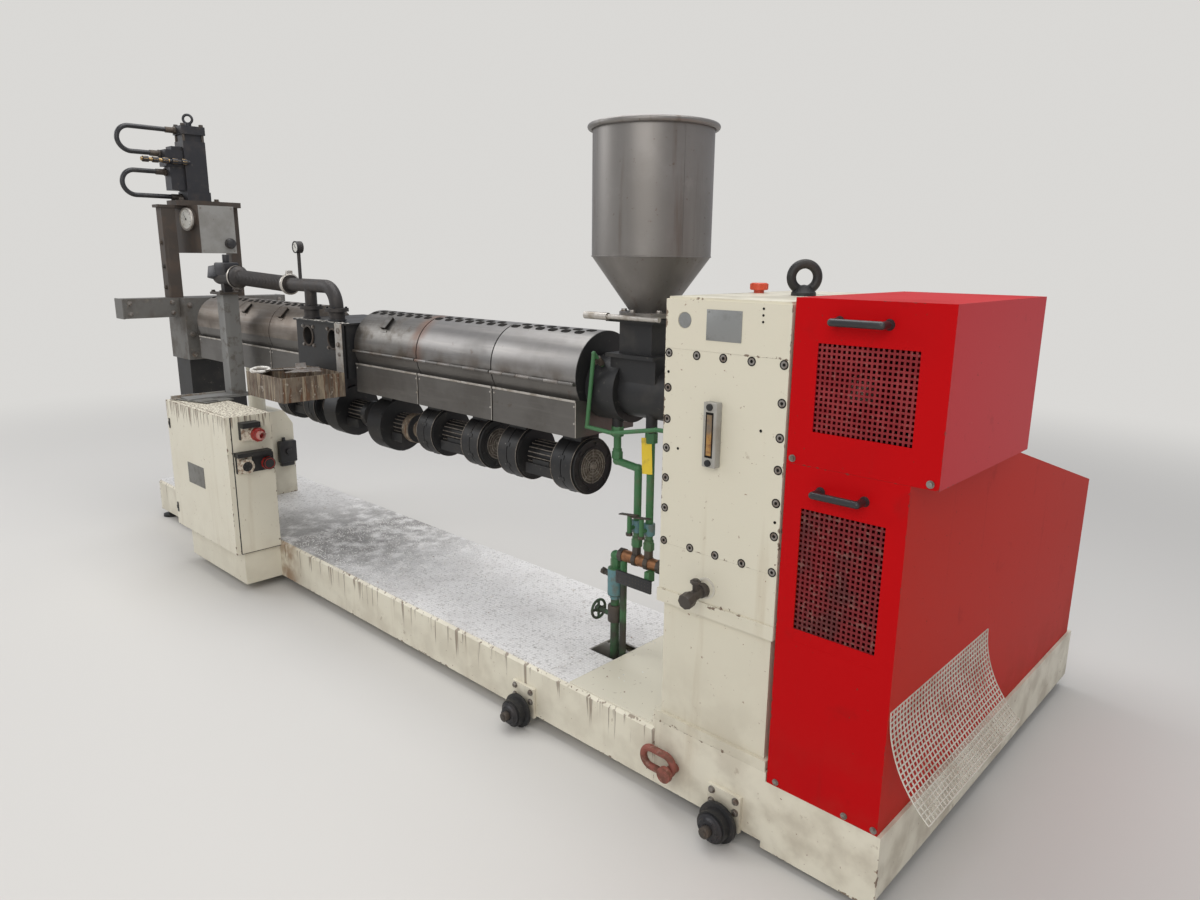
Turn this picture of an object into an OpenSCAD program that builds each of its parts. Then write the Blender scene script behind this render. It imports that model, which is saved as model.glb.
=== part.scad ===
// Wheeled single-screw plastic extruder with a vented barrel, belt-driven upright gearbox,
// conical hopper and a hydraulic screen changer.
// Working axes: x = 0 at the gearbox face that carries the barrel, y = 0 on the screw axis,
// z = 0 on the floor. The whole machine is then moved to stand centred on the origin.

/* [Base frame] */
// Length of the base to the left of the gearbox
base_run = 3990; // [3800:10:4300]
// Width of the deck
deck_w = 660; // [620:10:760]
// Height of the deck above the floor
deck_z = 230; // [215:1:260]
// Height of the rails
rail_h = 180; // [150:1:200]
// Width of the rail flanges
rail_flange = 70; // [50:1:90]
// Wall of the rails and frame plates
rail_t = 8; // [6:1:12]
// Thickness of the tread plate
deck_t = 6; // [4:1:8]
// Length of the plain plate beside the gearbox
plain_run = 375; // [340:5:420]
// Side of the square pipe hole in the deck
pipe_hole = 130; // [115:1:150]

/* [Drive frame] */
// Length of the drive frame to the right of x = 0
drive_len = 710; // [700:5:760]
// Reach of the drive frame behind the screw axis
drive_reach = 1290; // [1200:10:1400]
// Reach of the motor bay to the left of x = 0
motor_bay = 400; // [360:10:500]
// Depth by which the skirt hangs below the rails
skirt_drop = 20; // [10:1:30]
// Thickness of the pad under the gearbox
pad_t = 26; // [15:1:40]

/* [Wheels and feet] */
// Radius of the wheel flange
wheel_r = 60; // [50:1:70]
// Radius of the wheel tread
tread_r = 47; // [40:1:48]
// Width of the wheel tread
tread_w = 34; // [25:1:45]
// Radius of the axles
axle_r = 15; // [12:1:18]
// Place of the drive-end wheels along the machine
wheel_drive_x = 262; // [200:1:300]
// Distance between the wheels along the machine
wheel_base = 846; // [780:1:900]
// Radius of the levelling feet
foot_r = 45; // [35:1:55]

/* [Gearbox] */
// Length of the gearbox along the machine
gb_len = 380; // [370:1:384]
// Top of the gearbox above the floor
gb_top = 1500; // [1490:1:1540]
// Height of the gearbox cap
cap_h = 136; // [120:1:140]
// Underside of the bolted front cover
cover_z = 815; // [760:1:860]
// Thickness of the front cover
cover_t = 20; // [12:1:30]
// Underside of the middle flange
mid_z = 638; // [600:1:680]
// Thickness of the middle flange
mid_t = 39; // [30:1:45]
// Thickness of the base flange
flange_t = 30; // [24:1:36]

/* [Guards] */
// Wall of the sheet-metal guards
guard_t = 4; // [3:1:6]
// Width of the upper guard along the machine
upper_w = 374; // [360:1:390]
// Width of the lower guard along the machine
lower_w = 312; // [300:1:318]
// Height of the seam between the two guards
guard_seam = 1115; // [1080:1:1140]
// Top of the upper guard
guard_top = 1512; // [1505:1:1530]
// Depth of the upper guard behind the screw axis
upper_back = 255; // [230:1:300]
// Height of the lower guard at its far end
guard_low = 830; // [780:1:880]

/* [Barrel] */
// Height of the screw axis above the floor
axis_z = 1170; // [1150:1:1190]
// Outer radius of the barrel
barrel_r = 62; // [55:1:70]
// Radius of the screw bore
bore_r = 40; // [30:1:45]
// Radius of the melt channel through the screen changer
melt_r = 36; // [28:1:38]
// Outer radius of the heater bands
heater_r = 96; // [85:1:100]
// Radius of the feed section beside the gearbox
feed_r = 88; // [80:1:95]
// Radius of the feed section collar
collar_r = 112; // [104:1:118]
// Length of the feed section beside the gearbox
feed_len = 390; // [380:1:400]
// Length of the feed section collar
collar_len = 125; // [110:1:126]

/* [Hoods] */
// Radius of the round hoods
hood_r = 150; // [146:1:156]
// Height of the centre line of the hoods above the screw axis
hood_lift = 36; // [30:1:42]
// Sheet thickness of the hoods and boxes
hood_t = 3; // [2:0.5:4]
// Place of the right end of the first hood
hood_x = -520; // [-530:1:-518]
// Length of the first hood
hood_len_1 = 440; // [400:1:480]
// Length of the second hood
hood_len_2 = 472; // [430:1:500]
// Length of the third hood
hood_len_3 = 474; // [440:1:500]
// Length of the first rear hood, beside the vent
rear_len_1 = 340; // [320:1:360]
// Length of the second rear hood
rear_len_2 = 425; // [400:1:440]
// Length of the third rear hood
rear_len_3 = 475; // [440:1:490]
// Height of the hinge line above the screw axis
hinge_rise = 16; // [10:1:22]
// Height of the box rim below the screw axis
box_rim = 40; // [34:1:50]
// Depth of the box floor below the screw axis
box_drop = 167; // [150:1:180]
// Half width of the boxes
box_half = 146; // [135:1:148]
// Clear joint between hoods, and between hood and box
hood_gap = 6; // [5:1:8]

/* [Vent] */
// Length of the vent block
vent_len = 452; // [430:1:480]
// Height of the vent block above the screw axis
vent_rise = 134; // [120:1:150]
// Radius of the vent ports
port_r = 41; // [32:1:48]
// Length of the catch tray along the machine
tray_len = 330; // [280:1:360]
// Depth of the catch tray towards the front
tray_out = 290; // [240:1:320]

/* [Hopper] */
// Radius of the hopper
hopper_r = 188; // [165:1:200]
// Height of the round hopper wall
hopper_h = 385; // [340:5:440]
// Wall of the hopper
hopper_t = 3; // [2:0.5:5]
// Height of the cone
cone_h = 170; // [150:1:190]
// Radius of the cone outlet
outlet_r = 60; // [45:1:64]
// Distance from the gearbox to the hopper centre
hopper_x = 335; // [328:1:340]
// Travel of the slide gate
gate_travel = 120; // [100:1:125]

/* [Cabinet] */
// Width of the control cabinet
cab_w = 707; // [640:1:760]
// Depth of the cabinet with its door
cab_d = 218; // [200:1:260]
// Underside of the cabinet above the plinth
cab_z = 205; // [190:1:212]
// Top of the cabinet
cab_top = 866; // [820:1:880]
// Thickness of the cabinet door
door_t = 22; // [18:1:26]
// Sheet thickness of the cabinet
cab_t = 3; // [2:0.5:4]

/* [Blowers] */
// Radius of the blower scrolls
scroll_r = 103; // [95:1:112]
// Width of a blower scroll
scroll_w = 118; // [100:1:125]
// Length of a blower over both scrolls
blower_len = 410; // [390:1:430]
// Radius of the large single scroll
drum_r = 120; // [110:1:124]
// Radius of the blower motors
motor_r = 55; // [48:1:62]
// Drop of the blower shafts below the screw axis
blower_drop = 300; // [292:1:330]
// Number of cooling fins round a blower motor
fin_count = 20; // [12:1:24]

/* [Screen changer] */
// Place of the middle of the screen changer
changer_x = -3860; // [-3880:1:-3850]
// Height of the crosshead that carries the cylinder
crosshead_z = 1865; // [1830:5:1900]
// Side of the square hydraulic cylinder
ram_side = 124; // [110:1:140]
// Height of the hydraulic cylinder
ram_h = 330; // [300:5:360]

/* [Drive motor] */
// Radius of the motor body
drive_motor_r = 175; // [150:5:190]
// Length of the motor body
drive_motor_len = 640; // [600:10:680]
// Distance of the motor shaft behind the screw axis
motor_y = 850; // [800:10:900]

/* [Hidden] */
$fn = 48;

cream = [0.86, 0.84, 0.74];
red_paint = [0.80, 0.05, 0.05];
steel = [0.55, 0.54, 0.52];
dark = [0.10, 0.10, 0.11];
green = [0.20, 0.42, 0.24];
rust = [0.45, 0.22, 0.12];

seat = 0.3;
run_gap = 0.1;
front_y = -deck_w / 2;
back_y = deck_w / 2;
rail_z = deck_z - deck_t - rail_h;
rail_top = deck_z - deck_t;
bed_z = deck_z + pad_t;

plate_t = 12;
wheel_out = plate_t + tread_w / 2 + 23;
axle_tip = wheel_out + tread_w / 2 + 20;
wheel_y = front_y - wheel_out;
wheel_mid_x = wheel_drive_x - wheel_base;
rear_wheel_y = drive_reach + wheel_out;
rear_mid_y = back_y + wheel_out;

body_z = mid_z + mid_t;
cap_z = gb_top - cap_h;
guard_x = gb_len + 8;
lower_x1 = guard_x + lower_w;
upper_x1 = guard_x + upper_w;
guard_z = deck_z + seat;
window_t = 3;
guard_back = drive_reach - 20;

hood_x1 = hood_x - hood_len_1;
hood_x2 = hood_x1 - hood_len_2;
hood_x3 = hood_x2 - hood_len_3;
vent_x0 = hood_x3 - 12;
vent_x1 = vent_x0 - vent_len;
rear_x0 = vent_x1 - 10;
rear_x1 = rear_x0 - rear_len_1;
rear_x2 = rear_x1 - rear_len_2;
rear_x3 = rear_x2 - rear_len_3;
knuckle_r = 6;
hinge_y = -hood_r - knuckle_r - 1;
hinge_z = axis_z + hinge_rise;
hinge_pin_r = 3;
front_zones = [[hood_x1, hood_x], [hood_x2, hood_x1], [hood_x3, hood_x2]];
rear_zones = [[rear_x1, rear_x0], [rear_x2, rear_x1], [rear_x3, rear_x2]];
zones = concat(front_zones, rear_zones);

gate_z = 1410;
gate_t = 8;
throat_plate = 100;
hopper_z0 = gate_z + gate_t + 2 * seat;
cone_z1 = hopper_z0 + 12 + cone_h;

cab_x1 = -2383;
cab_x0 = cab_x1 - cab_w;
cab_y1 = front_y - seat;
cab_y0 = cab_y1 - cab_d;
door_gap = 5;
door_pivot_x = cab_x0 - 9;
door_pivot_y = cab_y0 + door_t / 2;

mesh_t = 3;
mesh_bend_r = 320;
mesh_bend = 50;
changer_half = 130;
crosshead_t = 30;
x_min = min(-base_run, changer_x - changer_half);
x_max = lower_x1 + seat + mesh_bend_r - (mesh_bend_r - mesh_t) * cos(mesh_bend);
y_min = cab_y0;
y_max = drive_reach + seat + axle_tip;
shift = [-(x_min + x_max) / 2, -(y_min + y_max) / 2, 0];

// Moves a piece from the working axes to the stored origin
module at_origin(tint) {
    translate(shift) color(tint) children();
}

// Box from its low corner and its size
module block(low, size) {
    translate(low) cube(size);
}

// Cylinder along x from x0 to x1
module rod_x(x0, x1, r, y = 0, z = 0) {
    translate([x0, y, z]) rotate([0, 90, 0]) cylinder(h = x1 - x0, r = r);
}

// Cylinder along y from y0 to y1
module rod_y(y0, y1, r, x = 0, z = 0) {
    translate([x, y1, z]) rotate([90, 0, 0]) cylinder(h = y1 - y0, r = r);
}

// Upright cylinder from z0 to z1
module rod_z(z0, z1, r, x = 0, y = 0) {
    translate([x, y, z0]) cylinder(h = z1 - z0, r = r);
}

// Straight tube between two points
module link(a, b, r) {
    d = b - a;
    len = norm(d);
    translate(a)
        rotate([0, acos(d[2] / len), atan2(d[1], d[0])])
            cylinder(h = len, r = r);
}

// Pipe that follows a list of points, with a slightly swollen ball fitting at each corner
module pipe_run(points, r) {
    for (i = [0 : len(points) - 2]) link(points[i], points[i + 1], r);
    for (i = [1 : 1 : len(points) - 2]) translate(points[i]) sphere(r = 1.15 * r);
}

// Folded rail with a chamfered outer top edge, open to the inside
module rail(length) {
    chamfer = 10;
    translate([-length, 0, 0]) rotate([90, 0, 90]) linear_extrude(length) polygon([
        [0, rail_z], [rail_flange, rail_z], [rail_flange, rail_z + rail_t],
        [rail_t, rail_z + rail_t], [rail_t, rail_top - rail_t],
        [rail_flange, rail_top - rail_t], [rail_flange, rail_top],
        [chamfer, rail_top], [0, rail_top - chamfer]
    ]);
}

module base_frame() {
    cross_w = 80;
    bays = 5;
    pitch = (base_run - cross_w) / bays;
    at_origin(cream) {
        translate([0, front_y, 0]) rail(base_run);
        translate([0, back_y, 0]) mirror([0, 1, 0]) rail(base_run);
        for (i = [0 : bays])
            block([-base_run + i * pitch, front_y + rail_t, rail_z + rail_t],
                [cross_w, deck_w - 2 * rail_t, rail_h - 2 * rail_t]);
    }
}

pipe_x = -430;
pipe_y = -40;
port_x = [pipe_x, -282];
port_z = axis_z - collar_r - 14;
valve_x = pipe_x - 80;
module deck_plate() {
    tread_len = base_run - plain_run;
    at_origin([0.62, 0.62, 0.60]) {
        difference() {
            block([-base_run, front_y + 10, rail_top], [tread_len - 1, deck_w - 20, deck_t]);
            translate([pipe_x - pipe_hole / 2, pipe_y - pipe_hole / 2, rail_top - 1])
                cube([pipe_hole, pipe_hole, deck_t + 2]);
        }
        block([-plain_run, front_y + 10, rail_top], [plain_run - seat, deck_w - 20, deck_t]);
    }
}

// Hollow floor frame under gearbox, guards and motor, open underneath
module drive_frame() {
    skirt_z = rail_z - skirt_drop;
    at_origin(cream) difference() {
        union() {
            block([seat, front_y, rail_z], [gb_len, deck_w, deck_z - rail_z]);
            block([gb_len, front_y, skirt_z],
                [drive_len - gb_len, drive_reach - front_y, deck_z - skirt_z]);
            block([-motor_bay, back_y + seat, rail_z],
                [motor_bay + gb_len, drive_reach - back_y - seat, deck_z - rail_z]);
            block([-10, front_y, deck_z], [gb_len + 14, deck_w, pad_t]);
        }
        block([seat + rail_t, front_y + rail_t, skirt_z - 1],
            [gb_len - 2 * rail_t, deck_w - 2 * rail_t, deck_z - skirt_z - 9]);
        block([gb_len + rail_t, front_y + rail_t, skirt_z - 1],
            [drive_len - gb_len - 2 * rail_t, drive_reach - front_y - 2 * rail_t, deck_z - skirt_z - 9]);
        block([-motor_bay + rail_t, back_y + seat + rail_t, skirt_z - 1],
            [motor_bay + gb_len - 2 * rail_t, drive_reach - back_y - seat - 2 * rail_t,
                deck_z - skirt_z - 9]);
        translate([drive_len, front_y - 1, skirt_z]) rotate([-90, 0, 0])
            skirt_corner(drive_reach - front_y + 2);
    }
}

// Waste piece that rounds the lower corner of the skirt
module skirt_corner(length) {
    round_r = 35;
    translate([-round_r, -round_r, 0]) difference() {
        cube([round_r + 1, round_r + 1, length]);
        translate([0, 0, -1]) cylinder(h = length + 2, r = round_r);
    }
}

// Jack screws with round pads under the left end of the base
module levelling_feet() {
    at_origin(dark)
        for (x = [-base_run + foot_r + 5, cab_x0 + 500], y = [front_y + 35, back_y - 35]) {
            rod_z(0, 14, foot_r, x, y);
            rod_z(14, rail_z - seat, 14, x, y);
        }
}

// Bearing plate with its axle, on the face at y = 0 towards -y
module axle_plate() {
    plate_side = 110;
    plate_z = wheel_r - 22;
    difference() {
        translate([-plate_side / 2, -plate_t, plate_z]) cube([plate_side, plate_t, plate_side]);
        for (x = [-40, 40], z = [plate_z + 60, plate_z + 95]) rod_y(-plate_t - 1, 1, 6, x, z);
    }
    rod_y(-plate_t - 8, -plate_t + 1, axle_r + 10, 0, wheel_r);
    rod_y(-axle_tip, -plate_t, axle_r, 0, wheel_r);
}

module axle_plates() {
    at_origin(cream) {
        for (x = [wheel_drive_x, wheel_mid_x]) translate([x, front_y - seat, 0]) axle_plate();
        translate([wheel_drive_x, drive_reach + seat, 0]) mirror([0, 1, 0]) axle_plate();
        translate([wheel_mid_x, back_y + seat, 0]) mirror([0, 1, 0]) axle_plate();
    }
}

// Flanged travel wheel on a y axis, flange on the machine side
module travel_wheel() {
    rotate([90, 0, 0]) rotate_extrude() polygon([
        [axle_r + run_gap, -tread_w / 2 - 4], [wheel_r, -tread_w / 2 - 4],
        [wheel_r, -tread_w / 2 + 6], [tread_r, -tread_w / 2 + 9], [tread_r, tread_w / 2],
        [axle_r + 18, tread_w / 2], [axle_r + 14, tread_w / 2 + 14],
        [axle_r + run_gap, tread_w / 2 + 14]
    ]);
}

module wheel_front_drive() {
    at_origin(dark) translate([wheel_drive_x, wheel_y, wheel_r]) travel_wheel();
}
module wheel_front_mid() {
    at_origin(dark) translate([wheel_mid_x, wheel_y, wheel_r]) travel_wheel();
}
module wheel_rear_drive() {
    at_origin(dark) translate([wheel_drive_x, rear_wheel_y, wheel_r]) mirror([0, 1, 0]) travel_wheel();
}
module wheel_rear_mid() {
    at_origin(dark) translate([wheel_mid_x, rear_mid_y, wheel_r]) mirror([0, 1, 0]) travel_wheel();
}

// Oval lifting ring on a collared bolt in the rail
module lifting_shackle() {
    bolt_x = 80;
    bolt_z = 130;
    bar_r = 11;
    ring_l = 52;
    ring_r = 30;
    ring_y = front_y - 24;
    at_origin(rust) {
        rod_y(front_y - 44, front_y - seat, 15, bolt_x, bolt_z);
        rod_y(front_y - 58, front_y - 44, 24, bolt_x, bolt_z);
        translate([bolt_x - 20 - ring_l, ring_y, bolt_z + 12]) rotate([90, 0, 0]) {
            rotate([0, 0, 90]) rotate_extrude(angle = 180) translate([ring_r, 0]) circle(r = bar_r);
            for (s = [-1, 1]) rod_x(0, ring_l, bar_r, s * ring_r, 0);
            translate([ring_l, 0, 0]) rotate([0, 0, -90])
                rotate_extrude(angle = 180) translate([ring_r, 0]) circle(r = bar_r);
        }
    }
}

module gearbox_lower() {
    inset = 12;
    at_origin(cream) {
        block([-6, front_y, bed_z + seat], [gb_len + 6, deck_w, flange_t]);
        block([inset, front_y + inset, bed_z + flange_t],
            [gb_len - 2 * inset, deck_w - 2 * inset, mid_z - bed_z - flange_t]);
        block([-4, front_y - 4, mid_z], [gb_len + 6, deck_w + 8, mid_t]);
    }
}

module gearbox_body() {
    boss_r = 128;
    boss_t = 18;
    at_origin(cream) {
        block([0, front_y, body_z], [gb_len, deck_w, cover_z - body_z]);
        block([0, front_y + cover_t, cover_z], [gb_len, deck_w - cover_t, cap_z - cover_z]);
        rod_x(-boss_t, 1, boss_r, 0, axis_z);
        rod_x(gb_len - 1, gb_len + 60, 35, 0, 1260);
    }
}

module gearbox_cover() {
    at_origin(cream)
        block([0, front_y, cover_z + seat], [gb_len, cover_t - seat, cap_z - cover_z - 2 * seat]);
}

module gearbox_cap() {
    round_r = 6;
    plug_r = 22;
    at_origin(cream) difference() {
        translate([0, front_y, cap_z]) union() {
            cube([gb_len, deck_w, cap_h - round_r]);
            translate([round_r, round_r, 0]) cube([gb_len - 2 * round_r, deck_w - 2 * round_r, cap_h]);
        }
        rod_y(front_y - 1, front_y + 2, plug_r, 62, gb_top - 60);
    }
}

// Lifting eye, breather cap, oil sight glass and drain cock on the gearbox
module gearbox_fittings() {
    eye_x = 216;
    eye_r = 36;
    eye_bar = 13;
    at_origin(dark) {
        rod_z(gb_top + seat, gb_top + 14, 26, eye_x, 0);
        translate([eye_x, 0, gb_top + 14 + eye_r]) rotate([90, 0, 43])
            rotate_extrude() translate([eye_r, 0]) circle(r = eye_bar);
        rod_z(gb_top + seat, gb_top + 26, 24, 62, 60);
        block([150, front_y - 26, 1070], [44, 26 - seat, 164]);
        rod_y(front_y - 46, front_y - seat, 13, 158, 715);
        rod_z(690, 740, 10, 158, front_y - 46);
        rod_x(138, 182, 6, front_y - 46, 742);
    }
}

// Sheet box, open inside, with a window in its front wall
module window_cut(x0, x1, z0, z1) {
    block([x0, front_y - 1, z0], [x1 - x0, guard_t + 2, z1 - z0]);
}

upper_window = [452, 694, 1200, 1410];
lower_window = [436, 652, 658, 1008];

module upper_guard() {
    at_origin(red_paint) difference() {
        block([guard_x, front_y, guard_seam + seat],
            [upper_w, upper_back - front_y, guard_top - guard_seam - seat]);
        block([guard_x + guard_t, front_y + guard_t, guard_seam + guard_t],
            [upper_w - 2 * guard_t, upper_back - front_y - 2 * guard_t,
                guard_top - guard_seam - 2 * guard_t]);
        block([guard_x + guard_t, front_y + guard_t, guard_seam - 1],
            [lower_w - 2 * guard_t, upper_back - front_y - 2 * guard_t, guard_t + 2]);
        window_cut(upper_window[0], upper_window[1], upper_window[2], upper_window[3]);
        rod_x(guard_x - 1, guard_x + guard_t + 1, 42, 0, 1260);
    }
}

// Side outline of the lower guard in y and z
module lower_outline(inset) {
    slope = (guard_seam - guard_low) / (guard_back - upper_back);
    polygon([
        [front_y + inset, guard_z - (inset > 0 ? 1 : 0)],
        [guard_back - inset, guard_z - (inset > 0 ? 1 : 0)],
        [guard_back - inset, guard_low - inset + slope * inset],
        [upper_back, guard_seam - inset], [front_y + inset, guard_seam - inset]
    ]);
}

module lower_guard() {
    at_origin(red_paint) difference() {
        translate([guard_x, 0, 0]) rotate([90, 0, 90]) linear_extrude(lower_w) lower_outline(0);
        translate([guard_x + guard_t, 0, 0]) rotate([90, 0, 90])
            linear_extrude(lower_w - 2 * guard_t) lower_outline(guard_t);
        block([guard_x + guard_t, front_y + guard_t, guard_seam - guard_t - 1],
            [lower_w - 2 * guard_t, upper_back - front_y - 2 * guard_t, guard_t + 2]);
        window_cut(lower_window[0], lower_window[1], lower_window[2], lower_window[3]);
        rod_x(guard_x - 1, guard_x + guard_t + 1, 42, motor_y, drive_motor_z);
    }
}

// Perforated screens behind the windows
module guard_screens() {
    lap = 12;
    at_origin(dark) for (w = [upper_window, lower_window])
        block([w[0] - lap, front_y + guard_t + seat, w[2] - lap],
            [w[1] - w[0] + 2 * lap, window_t, w[3] - w[2] + 2 * lap]);
}

// Bridge handle along x in front of the guards
module bridge_handle(length) {
    bar_r = 9;
    out = 38;
    rod_x(-length / 2, length / 2, bar_r, front_y - out);
    for (s = [-1, 1]) {
        rod_y(front_y - out, front_y - seat, bar_r, s * length / 2);
        translate([s * length / 2, front_y - out, 0]) sphere(r = bar_r);
    }
}

module guard_handles() {
    at_origin(dark) {
        translate([560, 0, 1462]) bridge_handle(118);
        translate([540, 0, 1058]) bridge_handle(112);
    }
}

// Bent sheet of plastic mesh held against the end of the guard
mesh_y0 = front_y + 10;
mesh_len = 640;
module mesh_sheet() {
    at_origin([0.75, 0.75, 0.72])
        translate([lower_x1 + seat + mesh_bend_r, mesh_y0, deck_z + 330])
            rotate([-90, 0, 0]) rotate([0, 0, 180 - mesh_bend])
                rotate_extrude(angle = mesh_bend)
                    translate([mesh_bend_r - mesh_t, 0]) square([mesh_t, mesh_len]);
}

drive_motor_z = deck_z + 20 + drive_motor_r;
module drive_motor() {
    motor_x1 = gb_len - 60;
    motor_x0 = motor_x1 - drive_motor_len;
    at_origin([0.25, 0.35, 0.45]) {
        rod_x(motor_x0, motor_x1, drive_motor_r, motor_y, drive_motor_z);
        rod_x(motor_x0 - 60, motor_x0, drive_motor_r - 15, motor_y, drive_motor_z);
        rod_x(motor_x1, guard_x + 60, 28, motor_y, drive_motor_z);
        for (x = [motor_x0 + 60, motor_x1 - 140])
            block([x, motor_y - drive_motor_r, deck_z + seat],
                [80, 2 * drive_motor_r, drive_motor_r / 2]);
        block([motor_x0 + 200, motor_y - 90, drive_motor_z + drive_motor_r - 20], [200, 180, 90]);
    }
}

// Cabinet shell on its plinth, with the door opening to the front
module cabinet_body() {
    shell_y0 = cab_y0 + door_t + door_gap;
    shell_d = cab_y1 - shell_y0;
    plinth_in = 14;
    at_origin(cream) {
        difference() {
            block([cab_x0, shell_y0, cab_z], [cab_w, shell_d, cab_top - cab_z]);
            block([cab_x0 + cab_t, shell_y0 - 1, cab_z + cab_t],
                [cab_w - 2 * cab_t, shell_d - cab_t + 1, cab_top - cab_z - 2 * cab_t]);
        }
        block([cab_x0 + 4 * plinth_in, shell_y0 + plinth_in, rail_z],
            [cab_w - 5 * plinth_in, shell_d - plinth_in, cab_z - rail_z + 1]);
        block([cab_x0 + 60, cab_y1 - cab_t - 14, cab_z + 60], [cab_w - 120, 12, cab_top - cab_z - 120]);
        block([cab_x0 + 60, cab_y1 - cab_t - 3, cab_z + 200], [30, 4, 30]);
        for (z = [cab_z + 80, cab_top - 120]) {
            block([cab_x0 - 4, shell_y0, z], [5, 24, 40]);
            rod_z(z - 20, z + 20, 3.5, door_pivot_x, door_pivot_y);
            block([door_pivot_x - 3, door_pivot_y, z + 12], [8, shell_y0 - door_pivot_y + 6, 8]);
        }
    }
}

// Cap-shaped door with two knuckles on its left edge
module cabinet_door() {
    rim = 2.5;
    at_origin(cream) {
        difference() {
            block([cab_x0, cab_y0, cab_z + 2], [cab_w, door_t, cab_top - cab_z - 2]);
            block([cab_x0 + rim, cab_y0 + rim, cab_z + 2 + rim],
                [cab_w - 2 * rim, door_t, cab_top - cab_z - 2 - 2 * rim]);
        }
        for (z = [cab_z + 80, cab_top - 120]) difference() {
            union() {
                rod_z(z - 24, z + 8, 7, door_pivot_x, door_pivot_y);
                block([door_pivot_x, door_pivot_y - 3, z - 24], [11, 6, 32]);
            }
            rod_z(z - 25, z + 9, 3.5 + run_gap, door_pivot_x, door_pivot_y);
        }
    }
}

// Plug sockets on the right side of the cabinet
module cabinet_sockets() {
    x = cab_x1 + seat;
    y = cab_y1;
    at_origin(dark) {
        block([x, y - 160, cab_top - 108], [24, 84, 59]);
        block([x, y - 160, cab_top - 50], [52, 84, 24]);
        rod_x(x + 23, x + 66, 28, y - 90, cab_top - 86);
        block([x, y - 190, cab_top - 186], [46, 160, 20]);
        block([x, y - 186, cab_top - 266], [18, 174, 81]);
        rod_x(x + 17, x + 44, 26, y - 150, cab_top - 230);
        rod_x(x + 17, x + 40, 29, y - 42, cab_top - 234);
    }
}

// Welded column that carries the barrel behind the cabinet
module support_column() {
    col_x1 = -3150;
    col_l = 220;
    col_w = 300;
    col_top = 720;
    saddle_x = col_x1 - col_l / 2;
    at_origin(cream) {
        translate([col_x1 - col_l, 0, 0]) rotate([90, 0, 90]) linear_extrude(col_l) polygon([
            [-col_w / 2, deck_z + seat], [col_w / 2, deck_z + seat], [col_w / 2, col_top - 80],
            [col_w / 2 - 50, col_top], [-col_w / 2 + 50, col_top], [-col_w / 2, col_top - 80]
        ]);
        rod_z(col_top - 1, axis_z - box_drop - seat, 45, saddle_x, 0);
    }
}

// Barrel tube with heater bands in every zone
module barrel() {
    barrel_end = changer_x + 150;
    at_origin(steel) difference() {
        union() {
            rod_x(barrel_end, -feed_len - collar_len, barrel_r, 0, axis_z);
            for (zone = zones)
                for (i = [0, 1]) {
                    pitch = (zone[1] - zone[0]) / 2;
                    rod_x(zone[0] + i * pitch + 25, zone[0] + (i + 1) * pitch - 15, heater_r, 0, axis_z);
                }
            rod_x(barrel_end, barrel_end + 40, 120, 0, axis_z);
        }
        rod_x(barrel_end - 1, -feed_len, bore_r, 0, axis_z);
    }
}

module feed_section() {
    x1 = -18 - seat;
    at_origin(dark) difference() {
        union() {
            rod_x(-feed_len, x1, feed_r, 0, axis_z);
            rod_x(x1 - 22, x1, feed_r + 34, 0, axis_z);
            rod_x(-feed_len - collar_len + seat, -feed_len, collar_r, 0, axis_z);
            block([-hopper_x - 95, -80, axis_z], [190, 160, feed_r + 26]);
            for (x = port_x) rod_z(port_z, axis_z - feed_r / 2, 19, x, pipe_y);
        }
        rod_x(-feed_len - collar_len - 1, x1 - 40, bore_r, 0, axis_z);
        rod_z(axis_z, axis_z + feed_r + 30, outlet_r - 8, -hopper_x, 0);
    }
}

// Square throat between feed section and slide gate
module feed_throat() {
    throat_z = axis_z + feed_r + 26 + seat;
    half = 68;
    plate = throat_plate;
    at_origin(dark) difference() {
        union() {
            block([-hopper_x - half, -half, throat_z], [2 * half, 2 * half, gate_z - throat_z]);
            block([-hopper_x - plate, -plate, gate_z - 12], [2 * plate, 2 * plate, 12]);
            block([-hopper_x - plate, -plate, throat_z], [2 * plate, 2 * plate, 12]);
            block([-hopper_x - plate, plate - 14, gate_z - 1], [2 * plate, 14, gate_t + seat + 1]);
        }
        rod_z(throat_z - 1, gate_z + 1, outlet_r - 8, -hopper_x, 0);
    }
}

// Gate plate with a bar grip along its front edge, drawn closed
module slide_gate() {
    half = 76;
    z = gate_z + seat;
    bar_y = -throat_plate - 16;
    at_origin(steel) {
        block([-hopper_x - half, bar_y, z], [2 * half, half - bar_y, gate_t - seat]);
        rod_x(-hopper_x - half, -hopper_x + half + 60, 8, bar_y, z + 4);
        rod_x(-hopper_x - half - 100, -hopper_x - half + 1, 12, bar_y, z + 4);
    }
}

// Outlet cone with its bolting flange
module hopper_cone() {
    top_r = hopper_r - seat;
    at_origin(steel) translate([-hopper_x, 0, hopper_z0]) rotate_extrude() polygon([
        [outlet_r, 0], [outlet_r + 38, 0], [outlet_r + 38, 10], [outlet_r + hopper_t + 2, 12],
        [top_r, cone_h + 12], [top_r - hopper_t - 1, cone_h + 12], [outlet_r, 14]
    ]);
}

// Round hopper wall with a rolled rim
module hopper_body() {
    rim_r = 9;
    at_origin(steel) translate([-hopper_x, 0, cone_z1 + seat]) rotate_extrude() union() {
        translate([hopper_r - hopper_t, 0]) square([hopper_t, hopper_h]);
        translate([hopper_r + rim_r - 2, hopper_h]) circle(r = rim_r);
    }
}

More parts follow.
